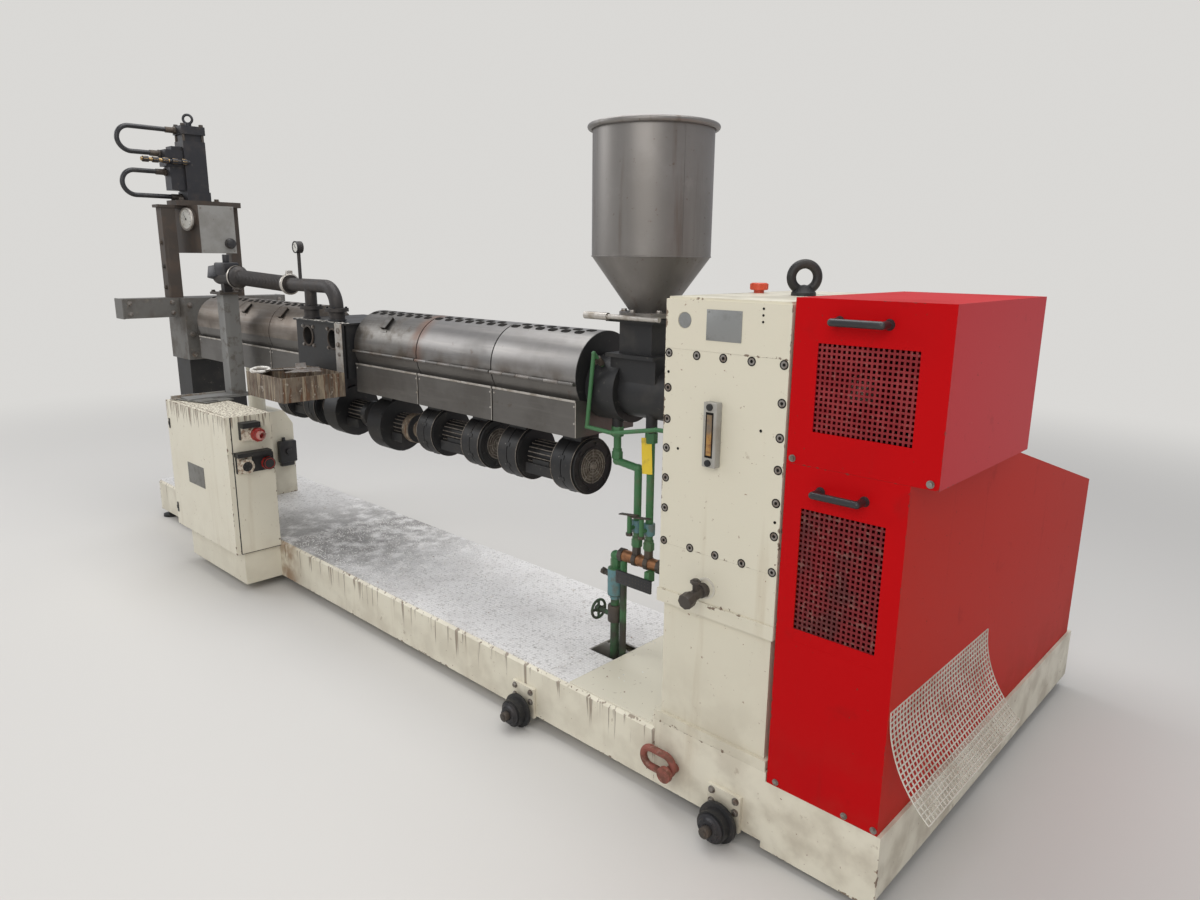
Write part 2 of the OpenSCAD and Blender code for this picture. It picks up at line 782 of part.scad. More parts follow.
// Round hood shell over x0 to x1, its lower edges on the hinge line
module hood_shell(x0, x1) {
    difference() {
        rod_x(x0, x1, hood_r, 0, axis_z + hood_lift);
        rod_x(x0 - 1, x1 + 1, hood_r - hood_t, 0, axis_z + hood_lift);
        block([x0 - 1, -hood_r - 1, axis_z - hood_r], [x1 - x0 + 2, 2 * hood_r + 2, hood_r + hinge_rise]);
    }
}

// Half-ring end wall of a hood
module hood_end(x0, inner) {
    difference() {
        rod_x(x0, x0 + hood_t, hood_r - 1, 0, axis_z + hood_lift);
        rod_x(x0 - 1, x0 + hood_t + 1, inner, 0, axis_z);
        block([x0 - 1, -hood_r, axis_z - hood_r], [hood_t + 2, 2 * hood_r, hood_r + hinge_rise]);
    }
}

// Knuckles of the long hinge, every other one: bored on the hood, solid on the box
module hinge_knuckles(x0, x1, on_hood) {
    count = 6;
    leaf = 11;
    pitch = (x1 - x0) / count;
    for (i = [on_hood ? 0 : 1 : 2 : count - 1]) difference() {
        union() {
            rod_x(x0 + i * pitch + 1, x0 + (i + 1) * pitch - 1, knuckle_r, hinge_y, hinge_z);
            block([x0 + i * pitch + 1, hinge_y, hinge_z - (on_hood ? 0 : knuckle_r)],
                [pitch - 2, leaf, knuckle_r - seat]);
        }
        if (on_hood)
            rod_x(x0 + i * pitch, x0 + (i + 1) * pitch, hinge_pin_r + run_gap, hinge_y, hinge_z);
    }
}

module hinged_hood(x0, x1) {
    left = x0 + hood_gap / 2;
    right = x1 - hood_gap / 2;
    hood_shell(left, right);
    hinge_knuckles(left, right, true);
}

module hood_1() {
    at_origin(steel) {
        hinged_hood(hood_x1, hood_x);
        hood_end(hood_x - hood_gap / 2 - hood_t, barrel_r + 8);
    }
}
module hood_2() {
    at_origin(steel) hinged_hood(hood_x2, hood_x1);
}
module hood_3() {
    at_origin(steel) {
        hinged_hood(hood_x3, hood_x2);
        hood_end(hood_x3 + hood_gap / 2, barrel_r + 8);
    }
}
module rear_hoods() {
    at_origin(steel) {
        for (zone = rear_zones) hood_shell(zone[0] + hood_gap / 2, zone[1] - hood_gap / 2);
        hood_end(rear_x0 - hood_gap / 2 - hood_t, barrel_r + 8);
        hood_end(rear_x3 + hood_gap / 2, barrel_r + 8);
    }
}

// Cross-section of a zone box: flat sides with a ledge at the top, and the round strip under the hood
module box_profile(inset) {
    translate([-box_half + inset, -box_drop + inset])
        square([2 * box_half - 2 * inset, box_drop - box_rim - 2 * inset]);
    intersection() {
        translate([0, hood_lift]) circle(r = hood_r - inset);
        translate([-hood_r, -box_rim - inset - 1])
            square([2 * hood_r, box_rim + inset + 1 + hinge_rise - seat]);
    }
}

// Sheet box under one zone, hung on the barrel by its end walls
module zone_box(x0, x1) {
    left = x0 + hood_gap / 2;
    length = x1 - x0 - hood_gap;
    cut_r = barrel_r + seat;
    translate([left, 0, axis_z]) rotate([90, 0, 90]) difference() {
        linear_extrude(length) box_profile(0);
        translate([0, 0, hood_t]) linear_extrude(length - 2 * hood_t) box_profile(hood_t);
        translate([0, 0, -1]) cylinder(h = length + 2, r = cut_r);
        translate([-cut_r, 0, -1]) cube([2 * cut_r, hood_r, length + 2]);
    }
}

module hood_boxes() {
    at_origin(steel) {
        for (zone = front_zones) {
            zone_box(zone[0], zone[1]);
            hinge_knuckles(zone[0] + hood_gap / 2, zone[1] - hood_gap / 2, false);
            rod_x(zone[0] + hood_gap / 2 + 2, zone[1] - hood_gap / 2 - 2, hinge_pin_r, hinge_y, hinge_z);
        }
        for (zone = rear_zones) zone_box(zone[0], zone[1]);
    }
}

// Vent housing round the barrel with two ports to the front
vent_half = 175;
vent_drop = 110;
vent_front = -vent_half - 22;
module vent_block() {
    half = vent_half;
    port_z = axis_z + 58;
    at_origin(dark) difference() {
        union() {
            block([vent_x1, -half, axis_z - vent_drop], [vent_len, 2 * half, vent_drop + vent_rise - 8]);
            block([vent_x1 - 6, -half - 12, axis_z + vent_rise - 8], [vent_len + 12, 2 * half + 24, 8]);
            block([vent_x0 - 60, vent_front, axis_z - 170], [60, 11, 170 + vent_rise]);
        }
        rod_x(vent_x1 - 1, vent_x0 + 1, barrel_r + seat, 0, axis_z);
        for (x = [vent_x1 + 111, vent_x1 + 336]) rod_y(-half - 1, -90, port_r, x, port_z);
    }
}

// Open catch tray under the vent ports
module vent_tray() {
    x0 = vent_x0 - tray_len;
    y1 = vent_front - seat;
    wall = 4;
    z0 = axis_z - 185;
    h = 105;
    at_origin([0.70, 0.62, 0.50]) {
        difference() {
            block([x0, y1 - tray_out, z0], [tray_len, tray_out, h]);
            block([x0 + wall, y1 - tray_out + wall, z0 + wall],
                [tray_len - 2 * wall, tray_out - 2 * wall, h]);
        }
    }
}

post_x = -2980;
post_y = -232;
vacuum_y = -150;
vacuum_z = 1457;
// Vacuum pipe with its elbow, bent hose and valve body on their post
module vacuum_line() {
    deck = axis_z + vent_rise + seat;
    pipe_r = 30;
    bend = 85;
    port_1 = vent_x1 + 336;
    port_2 = vent_x1 + 108;
    hose = [vent_x1 - 120, vacuum_y, vacuum_z];
    valve = [post_x + 110, post_y + 16, vacuum_z + 24];
    at_origin([0.36, 0.32, 0.29]) {
        for (x = [port_1, port_2]) {
            rod_z(deck, deck + 46, 34, x, vacuum_y);
            rod_z(deck + 45, deck + 60, 52, x, vacuum_y);
        }
        rod_z(deck + 59, vacuum_z - bend, pipe_r, port_1, vacuum_y);
        rod_z(deck + 59, vacuum_z, pipe_r - 3, port_2, vacuum_y);
        translate([port_1 - bend, vacuum_y, vacuum_z - bend]) rotate([90, 0, 0])
            rotate_extrude(angle = 90) translate([bend, 0]) circle(r = pipe_r);
        rod_x(hose[0], port_1 - bend, pipe_r, vacuum_y, vacuum_z);
        rod_x(hose[0] + 20, hose[0] + 42, pipe_r + 12, vacuum_y, vacuum_z);
        translate(hose) sphere(r = pipe_r + 10);
        link(hose, valve, pipe_r + 5);
        translate(valve) sphere(r = pipe_r + 24);
        link(valve, [post_x - 60, post_y, vacuum_z + 30], pipe_r + 16);
        rod_z(vacuum_z, vacuum_z + 150, 8, vent_x1 + 20, vacuum_y);
        rod_y(vacuum_y - 14, vacuum_y + 14, 27, vent_x1 + 20, vacuum_z + 172);
        block([post_x - 60, post_y - 60, vacuum_z - 62], [120, 120, 8]);
        block([post_x - 20, post_y - 20, vacuum_z - 56], [40, 40, 70]);
        block([post_x - 38, post_y - 38, cab_top + 10], [76, 76, vacuum_z - 60 - cab_top - 10]);
        block([post_x - 55, post_y - 260, cab_top + seat], [110, 320, 12]);
    }
}

// Scroll housing: two dished halves on a narrow seam
module scroll(x0, x1, r) {
    mid = (x0 + x1) / 2;
    lip = 6;
    rod_x(x0 + lip, mid - 2, r);
    rod_x(x0, x0 + lip + 1, r - lip);
    rod_x(mid - 3, mid + 3, r - 6);
    rod_x(mid + 2, x1 - lip, r);
    rod_x(x1 - lip - 1, x1, r - lip);
}

// Motor body with straight cooling fins and a terminal box on a foot
module finned_motor(x0, x1) {
    fin = 9;
    rod_x(x0, x1, motor_r - fin);
    for (a = [0 : 360 / fin_count : 359]) translate([x0 + 6, 0, 0]) rotate([a, 0, 0])
        translate([0, -1.5, 0]) cube([x1 - x0 - 12, 3, motor_r]);
    block([x0 + 12, -motor_r - 14, -motor_r - 6], [x1 - x0 - 24, 46, 40]);
}

// Duct that rises from a scroll to the housing above it
module scroll_duct(x, width, rise) {
    duct = 90;
    block([x - width / 2 + 12, -duct / 2, 0], [width - 24, duct, rise - seat]);
}

// Motor with a scroll at each end, its ducts rising to the box floor
module twin_blower(x1, length, drop) {
    translate([0, 0, axis_z - drop]) {
        for (x = [x1 - length, x1 - scroll_w]) {
            scroll(x, x + scroll_w, scroll_r);
            scroll_duct(x + scroll_w / 2, scroll_w, drop - box_drop);
        }
        finned_motor(x1 - length + scroll_w - 1, x1 - scroll_w + 1);
    }
}

// Large single scroll with its motor to the right
module drum_blower(x0, width, motor_len, drop, floor_drop) {
    cowl = 34;
    translate([0, 0, axis_z - drop]) {
        rod_x(x0, x0 + width, drum_r);
        scroll_duct(x0 + width / 2, width, drop - floor_drop);
        finned_motor(x0 + width - 1, x0 + width + motor_len - cowl + 1);
        rod_x(x0 + width + motor_len - cowl, x0 + width + motor_len, motor_r + 8);
    }
}

blower_x1 = hood_x - 65;
blower_x2 = hood_x1 - 143;
drum_x0 = hood_x3 + 24;
module blower_row() {
    at_origin(dark) {
        twin_blower(blower_x1, blower_len, blower_drop);
        twin_blower(blower_x2, blower_len + 14, blower_drop);
        drum_blower(drum_x0, 108, 134, blower_drop + 20, box_drop);
        drum_blower(vent_x1 + 100, 112, 160, blower_drop + 6, vent_drop);
        twin_blower(rear_x0 - 10, 400, blower_drop + 10);
    }
}

// Cooling water pipes, manifold, valves and drains
module water_pipes() {
    riser = -335;
    drain = -392;
    y = pipe_y;
    y2 = -collar_r - 10;
    out = collar_r * sin(45);
    at_origin(green) {
        pipe_run([[pipe_x, y, port_z - seat], [pipe_x, y, 925], [riser, y, 915], [riser, y, 600]], 13);
        pipe_run([[port_x[1], y, port_z - seat], [port_x[1], y, 600]], 13);
        pipe_run([[-466, -out - 0.6, axis_z + out + 0.6], [-466, y2, axis_z - y2], [-495, y2, 1045],
            [-380, y2, 1040], [-205, -110, 1075], [-seat, -100, 1080]], 7);
        rod_x(drain - 8, -225, 20, y, 595);
        block([-385, y - 46, 512], [150, 6, 42]);
        block([-265, y - 41, 545], [20, 30, 35]);
        pipe_run([[-372, y, 595], [pipe_x, y, 585], [pipe_x, y, 160]], 16);
        rod_z(440, 540, 27, pipe_x, y);
        rod_z(340, 400, 25, pipe_x, y);
        rod_x(valve_x - 4, pipe_x, 9, y, 360);
        rod_z(160, 590, 12, drain, y);
        for (x = [riser, port_x[1]]) {
            rod_z(695, 735, 19, x, y);
            rod_y(y - 40, y, 7, x, 715);
            rod_z(700, 760, 8, x, y - 40);
        }
    }
}

// Spoked wheel on the stop valve
module valve_handwheel() {
    rim_r = 34;
    at_origin(green) translate([valve_x, pipe_y, 360]) rotate([0, 90, 0]) difference() {
        union() {
            rotate_extrude() translate([rim_r, 0]) circle(r = 5);
            for (a = [0, 90]) rotate([0, 0, a]) translate([-rim_r, -4, -3]) cube([2 * rim_r, 8, 6]);
            translate([0, 0, -8]) cylinder(h = 16, r = 14);
        }
        translate([0, 0, -20]) cylinder(h = 40, r = 9 + run_gap);
    }
}

pedestal_w = 320;
module changer_pedestal() {
    at_origin(dark)
        block([changer_x - 100, -pedestal_w / 2, deck_z + seat],
            [200, pedestal_w, axis_z - 190 - deck_z - seat]);
}

changer_top = 170;
// Screen changer body with an arm to each side that guides the screen slide
module changer_body() {
    arm_h = 110;
    arm_y = 480;
    body_y = 170;
    at_origin([0.35, 0.33, 0.30]) {
        difference() {
            union() {
                block([changer_x - changer_half, -body_y, axis_z - 190 + seat],
                    [2 * changer_half, 2 * body_y, 190 + changer_top - seat]);
                rod_x(changer_x + changer_half, changer_x + changer_half + 20 - seat, 118, 0, axis_z);
            }
            rod_x(changer_x - changer_half - 1, changer_x + changer_half + 30, melt_r, 0, axis_z);
            for (a = [0 : 45 : 315])
                rod_x(changer_x - changer_half - 1, changer_x - changer_half + 30, 8,
                    95 * cos(a + 22.5), axis_z + 95 * sin(a + 22.5));
        }
        for (y = [-arm_y, body_y + seat])
            block([changer_x - 60, y, axis_z + changer_top - arm_h], [120, arm_y - body_y - seat, arm_h]);
    }
}

// Two posts and a crosshead above the changer body, with gauge plate and junction box
module changer_yoke() {
    post_z = axis_z + changer_top + seat;
    front_x = changer_x + 169;
    panel_h = 268;
    panel_y = -57;
    lean = 48;
    depth = 269;
    at_origin([0.30, 0.27, 0.24]) {
        block([changer_x - 38, -212, post_z], [76, 76, crosshead_z - 13 - post_z]);
        block([changer_x - 42, -230, crosshead_z - 14], [84, 170, 16]);
        block([changer_x - 38, 170, post_z], [76, 60, crosshead_z + 1 - post_z]);
        block([changer_x - 75, -135, crosshead_z], [150, 371, crosshead_t]);
        translate([front_x, panel_y, crosshead_z - panel_h]) linear_extrude(panel_h + 1)
            polygon([[0, 0], [-depth, -lean], [-depth, 10 - lean], [0, 10]]);
        translate([front_x - 86, panel_y - 86 * lean / depth, crosshead_z - 77])
            rotate([90, 0, atan2(lean, depth)]) translate([0, 0, -5]) cylinder(h = 30, r = 63);
        block([front_x - 120, panel_y + 2, crosshead_z - panel_h], [120, 201, panel_h + 1]);
        rod_x(front_x - 1, front_x + 15, 30, 110, crosshead_z - 211);
    }
}

ram_z = crosshead_z + crosshead_t + seat;
ram_foot = 5;
ram_block_y = -162;
// Tie-rod cylinder with its cap, eye bolt and stepped valve block
module hydraulic_cylinder() {
    z1 = ram_z + ram_h;
    half = ram_side / 2;
    foot = half + ram_foot;
    cap = half + 4;
    neck = half - 10;
    at_origin(dark) {
        block([changer_x - foot, -foot, ram_z], [2 * foot, 2 * foot, 50]);
        block([changer_x - half, -half, ram_z + 49], [ram_side, ram_side, ram_h - 49]);
        block([changer_x - neck, -neck, z1 - 1], [2 * neck, 2 * neck, 39]);
        block([changer_x - cap, -cap, z1 + 37], [2 * cap, 2 * cap, 46]);
        for (sx = [-1, 1], sy = [-1, 1])
            rod_z(z1 + 82, z1 + 96, 11, changer_x + sx * (cap - 15), sy * (cap - 15));
        rod_z(z1 + 82, z1 + 105, 18, changer_x, 0);
        translate([changer_x, 0, z1 + 127]) rotate([90, 0, 60])
            rotate_extrude() translate([24, 0]) circle(r = 7);
        block([changer_x - 44, ram_block_y + 22, ram_z + 55], [88, -ram_block_y - 22 - half + 1, 131]);
        block([changer_x - 50, ram_block_y, ram_z + 185], [100, -ram_block_y - half + 1, 90]);
        block([changer_x - 40, ram_block_y + 40, ram_z + 274], [80, -ram_block_y - 40 - half + 1, 22]);
        block([changer_x + 49, -128, ram_z + 198], [26, 60, 28]);
        rod_y(-300, -38, 10, changer_x + 69, ram_z + 211);
        for (i = [0 : 4]) rod_y(-292 + i * 52, -262 + i * 52, 16, changer_x + 69, ram_z + 211);
    }
}

// Hose that leaves a face at y0, turns over and comes back to a face at y1, lower down
module hose_loop(x, y0, y1, z0, z1, bend_y) {
    hose_r = 13;
    loop_r = (z0 - z1) / 2;
    rod_y(bend_y, y0, hose_r, x, z0);
    rod_y(bend_y, y1, hose_r, x, z1);
    translate([x, bend_y, z0 - loop_r]) rotate([90, 0, -90]) rotate([0, 0, -90])
        rotate_extrude(angle = 180) translate([loop_r, 0]) circle(r = hose_r);
}

// Two hoses between the cylinder's cap, its valve block and its foot
module hydraulic_hoses() {
    half = ram_side / 2;
    at_origin(dark) {
        hose_loop(changer_x - 20, -half - 4 - seat, ram_block_y - seat,
            ram_z + ram_h + 60, ram_z + 255, -315);
        hose_loop(changer_x - 20, ram_block_y + 22 - seat, -half - ram_foot - seat,
            ram_z + 155, ram_z + 20, -312);
    }
}

base_frame();
deck_plate();
drive_frame();
levelling_feet();
axle_plates();
wheel_front_drive();
wheel_front_mid();
wheel_rear_drive();
wheel_rear_mid();
lifting_shackle();
gearbox_lower();
gearbox_body();
gearbox_cover();
gearbox_cap();
gearbox_fittings();
upper_guard();
lower_guard();
guard_screens();
guard_handles();
mesh_sheet();
drive_motor();
cabinet_body();
cabinet_door();
cabinet_sockets();
support_column();
barrel();
feed_section();
feed_throat();
slide_gate();
hopper_body();
hopper_cone();
hood_1();
hood_2();
hood_3();
rear_hoods();
hood_boxes();
vent_block();
vent_tray();
vacuum_line();
blower_row();
water_pipes();
valve_handwheel();
changer_pedestal();
changer_body();
changer_yoke();
hydraulic_cylinder();
hydraulic_hoses();
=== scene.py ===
import bpy, bmesh, math, random
from mathutils import Matrix, Vector


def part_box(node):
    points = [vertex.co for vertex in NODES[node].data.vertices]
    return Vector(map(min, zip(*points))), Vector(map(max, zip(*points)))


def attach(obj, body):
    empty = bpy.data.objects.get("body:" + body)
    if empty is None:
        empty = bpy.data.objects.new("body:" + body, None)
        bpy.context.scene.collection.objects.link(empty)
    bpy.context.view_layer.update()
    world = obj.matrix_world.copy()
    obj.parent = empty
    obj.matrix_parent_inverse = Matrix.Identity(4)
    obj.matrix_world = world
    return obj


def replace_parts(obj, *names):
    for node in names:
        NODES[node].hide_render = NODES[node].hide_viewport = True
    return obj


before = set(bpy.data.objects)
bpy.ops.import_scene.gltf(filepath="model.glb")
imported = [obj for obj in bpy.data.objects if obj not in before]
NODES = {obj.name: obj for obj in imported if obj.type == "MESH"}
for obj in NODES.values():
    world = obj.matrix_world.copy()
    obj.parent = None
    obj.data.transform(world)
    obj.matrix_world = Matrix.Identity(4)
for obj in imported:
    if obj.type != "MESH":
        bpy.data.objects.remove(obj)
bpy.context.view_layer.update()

# Working axes in millimetres: x = 0 at the gearbox face, y = 0 on the screw axis, z = 0 on the floor
MM = 0.001
FRONT = -330.0
AXIS_Z = 1170.0
cover_low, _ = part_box("gearbox_cover")
ORIGIN = Vector((cover_low.x, cover_low.y - FRONT / 1000.0, 0.0))


def at(x, y, z):
    return Vector((ORIGIN.x + x / 1000.0, ORIGIN.y + y / 1000.0, z / 1000.0))


def from_origin(point):
    """A point of the frame in working millimetres."""
    return (point - ORIGIN) / MM


# Camera of the photograph
CAMERA_PLACE = (1410, -2080, 1600)
CAMERA_YAW, CAMERA_PITCH, CAMERA_ROLL = 43.28, 13.09, -0.564
CAMERA_LENS, SENSOR_WIDTH = 24.96, 36.0


def place_camera():
    yaw, pitch, roll = (math.radians(turn) for turn in (CAMERA_YAW, CAMERA_PITCH, CAMERA_ROLL))
    ahead = Vector((-math.sin(yaw) * math.cos(pitch), math.cos(yaw) * math.cos(pitch), -math.sin(pitch)))
    right = Vector((math.cos(yaw), math.sin(yaw), 0.0))
    down = ahead.cross(right)
    level = math.cos(roll) * right + math.sin(roll) * down
    up = math.sin(roll) * right - math.cos(roll) * down
    lens = bpy.data.cameras.new("photo_camera")
    lens.lens = CAMERA_LENS
    lens.sensor_width = SENSOR_WIDTH
    camera = bpy.data.objects.new("photo_camera", lens)
    bpy.context.scene.collection.objects.link(camera)
    turn = Matrix((level, up, -ahead)).transposed().to_4x4()
    camera.matrix_world = Matrix.Translation(at(*CAMERA_PLACE)) @ turn
    bpy.context.scene.camera = camera


place_camera()


# Shader nodes, whose inputs take a number, or the output of another node
def feed(tree, socket, value):
    if isinstance(value, bpy.types.NodeSocket):
        tree.links.new(value, socket)
    else:
        socket.default_value = value


def add_node(tree, kind, inputs=(), **settings):
    node = tree.nodes.new(kind)
    for key, value in settings.items():
        setattr(node, key, value)
    for label, value in dict(inputs).items():
        feed(tree, node.inputs[label], value)
    return node


def calc(tree, operation, *values, kind="ShaderNodeMath"):
    return add_node(tree, kind, enumerate(values), operation=operation).outputs[0]


def calc_vector(tree, operation, *values):
    return calc(tree, operation, *values, kind="ShaderNodeVectorMath")


def spread(tree, value, low, high):
    return add_node(tree, "ShaderNodeMapRange", {"Value": value, "From Min": low, "From Max": high},
                    interpolation_type="SMOOTHSTEP").outputs["Result"]


def place_in(tree, stretch=None):
    """Object coordinates, squeezed or drawn out where stretch is given."""
    place = add_node(tree, "ShaderNodeTexCoord").outputs["Object"]
    if stretch:
        return add_node(tree, "ShaderNodeMapping", {"Vector": place, "Scale": stretch}).outputs["Vector"]
    return place


def split(tree, vector):
    return add_node(tree, "ShaderNodeSeparateXYZ", {0: vector}).outputs


def cloud(tree, scale, detail=2.0, roughness=0.5, stretch=None):
    form = {"Vector": place_in(tree, stretch), "Scale": scale, "Detail": detail, "Roughness": roughness}
    return add_node(tree, "ShaderNodeTexNoise", form).outputs["Fac"]


# Shared shader groups, each putting out one mask
def make_group(name, inputs, mask_of, **extra):
    tree = bpy.data.node_groups.new(name, "ShaderNodeTree")
    for label, value in inputs.items():
        kind = "NodeSocketVector" if isinstance(value, tuple) else "NodeSocketFloat"
        socket = tree.interface.new_socket(name=label, in_out="INPUT", socket_type=kind)
        socket.default_value = value
    tree.interface.new_socket(name="Mask", in_out="OUTPUT", socket_type="NodeSocketFloat")
    given = tree.nodes.new("NodeGroupInput").outputs
    mask = mask_of(tree, given, **extra)
    tree.links.new(mask, tree.nodes.new("NodeGroupOutput").inputs["Mask"])
    return tree


def patch_mask(tree, given, stretch=(1.0, 1.0, 1.0)):
    noise = cloud(tree, given["Scale"], detail=6.0, roughness=0.62, stretch=stretch)
    return spread(tree, noise, given["Low"], given["High"])


def edge_mask(tree, given):
    """Wear on the edges of a box, where the middle one of the distances to its faces is small."""
    place = place_in(tree)
    lows = calc_vector(tree, "SUBTRACT", place, given["Low"])
    highs = calc_vector(tree, "SUBTRACT", given["High"], place)
    x, y, z = split(tree, calc_vector(tree, "MINIMUM", lows, highs))
    smaller, larger = calc(tree, "MINIMUM", x, y), calc(tree, "MAXIMUM", x, y)
    middle = calc(tree, "MAXIMUM", smaller, calc(tree, "MINIMUM", larger, z))
    ragged = spread(tree, cloud(tree, scale=55.0, detail=5.0), 0.50, 0.72)
    worn = calc(tree, "MULTIPLY", ragged, given["Width"])
    kept = calc(tree, "MULTIPLY", worn, spread(tree, cloud(tree, scale=7.0), 0.42, 0.62))
    return spread(tree, calc(tree, "SUBTRACT", kept, middle), -0.0006, 0.0006)


def height_mask(tree, given):
    height = spread(tree, split(tree, place_in(tree))["Z"], given["Zero_at"], given["Full_at"])
    return calc(tree, "MULTIPLY", height, spread(tree, cloud(tree, scale=9.0, detail=6.0), 0.38, 0.66))


def band_mask(tree, given):
    away = calc(tree, "ABSOLUTE", calc(tree, "SUBTRACT", split(tree, place_in(tree))["X"], given["Centre"]))
    shade = spread(tree, away, given["Width"], 0.0)
    return calc(tree, "MULTIPLY", shade, spread(tree, cloud(tree, scale=14.0, detail=4.0), 0.25, 0.6))


def tread_mask(tree, given):
    x, y, _ = split(tree, place_in(tree))
    along = calc(tree, "MULTIPLY", x, given["Scale"])
    across = calc(tree, "MULTIPLY", y, given["Scale"])
    one_way = calc(tree, "SINE", calc(tree, "ADD", along, across))
    other_way = calc(tree, "SINE", calc(tree, "SUBTRACT", along, across))
    return spread(tree, calc(tree, "MULTIPLY", one_way, other_way), 0.18, 0.55)


def run_mask(tree, given):
    height = spread(tree, split(tree, place_in(tree))["Z"], given["From"], given["To"])
    lines = cloud(tree, given["Scale"], detail=5.0, stretch=(1.0, 1.0, 0.04))
    level = calc(tree, "ADD", lines, calc(tree, "MULTIPLY", height, 0.16))
    return calc(tree, "MULTIPLY", spread(tree, level, 0.66, 0.72), spread(tree, height, 0.0, 0.25))


def side_mask(tree, given):
    normal = add_node(tree, "ShaderNodeNewGeometry").outputs["Normal"]
    return spread(tree, split(tree, normal)["X"], given["Low"], given["High"])


def past_x_mask(tree, given):
    return spread(tree, split(tree, place_in(tree))["X"], given["Low"], given["High"])


PATCH_INPUTS = {"Scale": 8.0, "Low": 0.5, "High": 0.7}
GROUPS = {
    "patches": make_group("wear_patches", PATCH_INPUTS, patch_mask),
    "streaks": make_group("drip_streaks", PATCH_INPUTS, patch_mask, stretch=(1.0, 1.0, 0.07)),
    "brushed": make_group("brushed_lines", PATCH_INPUTS, patch_mask, stretch=(0.05, 1.0, 1.0)),
    "edges": make_group("box_edges", {"Low": (0, 0, 0), "High": (1, 1, 1), "Width": 0.01}, edge_mask),
    "height": make_group("height_fade", {"Zero_at": 0.5, "Full_at": 0.0}, height_mask),
    "band": make_group("band_along", {"Centre": 0.0, "Width": 0.05}, band_mask),
    "tread": make_group("tread_marks", {"Scale": 260.0}, tread_mask),
    "runs": make_group("rust_runs", {"Scale": 40.0, "From": 0.8, "To": 0.9}, run_mask),
    "sides": make_group("turned_to_x", {"Low": 0.3, "High": 0.7}, side_mask),
    "past_x": make_group("past_x", {"Low": 0.0, "High": 0.001}, past_x_mask),
}


# A layer is (group, its values, colour, roughness, strength)
def patches(scale, low, high, *look, group="patches"):
    return (group, {"Scale": scale, "Low": low, "High": high}, *look)


def streaks(scale, low, high, *look):
    return patches(scale, low, high, *look, group="streaks")


def brushed(scale, low, high, *look):
    return patches(scale, low, high, *look, group="brushed")


def height_fade(zero_at, full_at, *look):
    return ("height", {"Zero_at": zero_at, "Full_at": full_at}, *look)


def band(centre, width, *look):
    return ("band", {"Centre": centre, "Width": width}, *look)


def edges_of(node, width, *look):
    low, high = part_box(node)
    return ("edges", {"Low": low, "High": high, "Width": width}, *look)


def mix_layer(tree, data_type, factor, under, over):
    return add_node(tree, "ShaderNodeMix", {"Factor": factor, "A": under, "B": over},
                    data_type=data_type).outputs["Result"]


def mask_node(tree, group, values):
    return add_node(tree, "ShaderNodeGroup", values, node_tree=GROUPS[group]).outputs["Mask"]


# A finish is a base colour with layers over it, and a grain of (scale, depth)
GRAIN_STRENGTH = 0.35


def make_finish(name, colour, rough, metal=0.0, layers=(), grain=None, coat=0.0, specular=0.5):
    mat = bpy.data.materials.new(name)
    mat.use_nodes = True
    tree = mat.node_tree
    shader = tree.nodes["Principled BSDF"]
    tint, level = (*colour, 1), rough
    for group, values, layer_colour, layer_rough, strength in layers:
        factor = calc(tree, "MULTIPLY", mask_node(tree, group, values), strength)
        tint = mix_layer(tree, "RGBA", factor, tint, (*layer_colour, 1))
        level = mix_layer(tree, "FLOAT", factor, level, layer_rough)
    for label, value in (("Base Color", tint), ("Roughness", level), ("Metallic", metal),
                         ("Coat Weight", coat), ("Specular IOR Level", specular)):
        feed(tree, shader.inputs[label], value)
    if grain:
        scale, depth = grain
        form = {"Strength": GRAIN_STRENGTH, "Distance": depth, "Height": cloud(tree, scale, detail=4.0)}
        bump = add_node(tree, "ShaderNodeBump", form)
        feed(tree, shader.inputs["Normal"], bump.outputs["Normal"])
    return mat


def dress(nodes, mat):
    for node in nodes:
        slots = NODES[node].data.materials
        slots.clear()
        slots.append(mat)


CREAM = (0.72, 0.68, 0.56)
CREAM_UPRIGHT = (0.655, 0.617, 0.500)
DIRT = (0.23, 0.17, 0.11)
RUST = (0.18, 0.065, 0.025)
CREAM_NODES = ("base_frame", "drive_frame", "axle_plates", "gearbox_lower", "gearbox_body", "gearbox_cover",
               "gearbox_cap", "cabinet_body", "cabinet_door", "support_column")
RUN_STRENGTH = {"cabinet_body": 0.75, "cabinet_door": 0.75, "base_frame": 0.65}
LOW_DIRT_STRENGTH = {"cabinet_body": 0.12, "cabinet_door": 0.10, "base_frame": 0.22}
RAIL_STAIN_X = ORIGIN.x - 2.33
# Painted shade with some dirt: the gearbox cap's top face, above 1.494 m, is darkened to hold back the light
# it catches from the roof lights
CAP_TOP_SHADE_AND_DIRT = (1.494, 1.503)


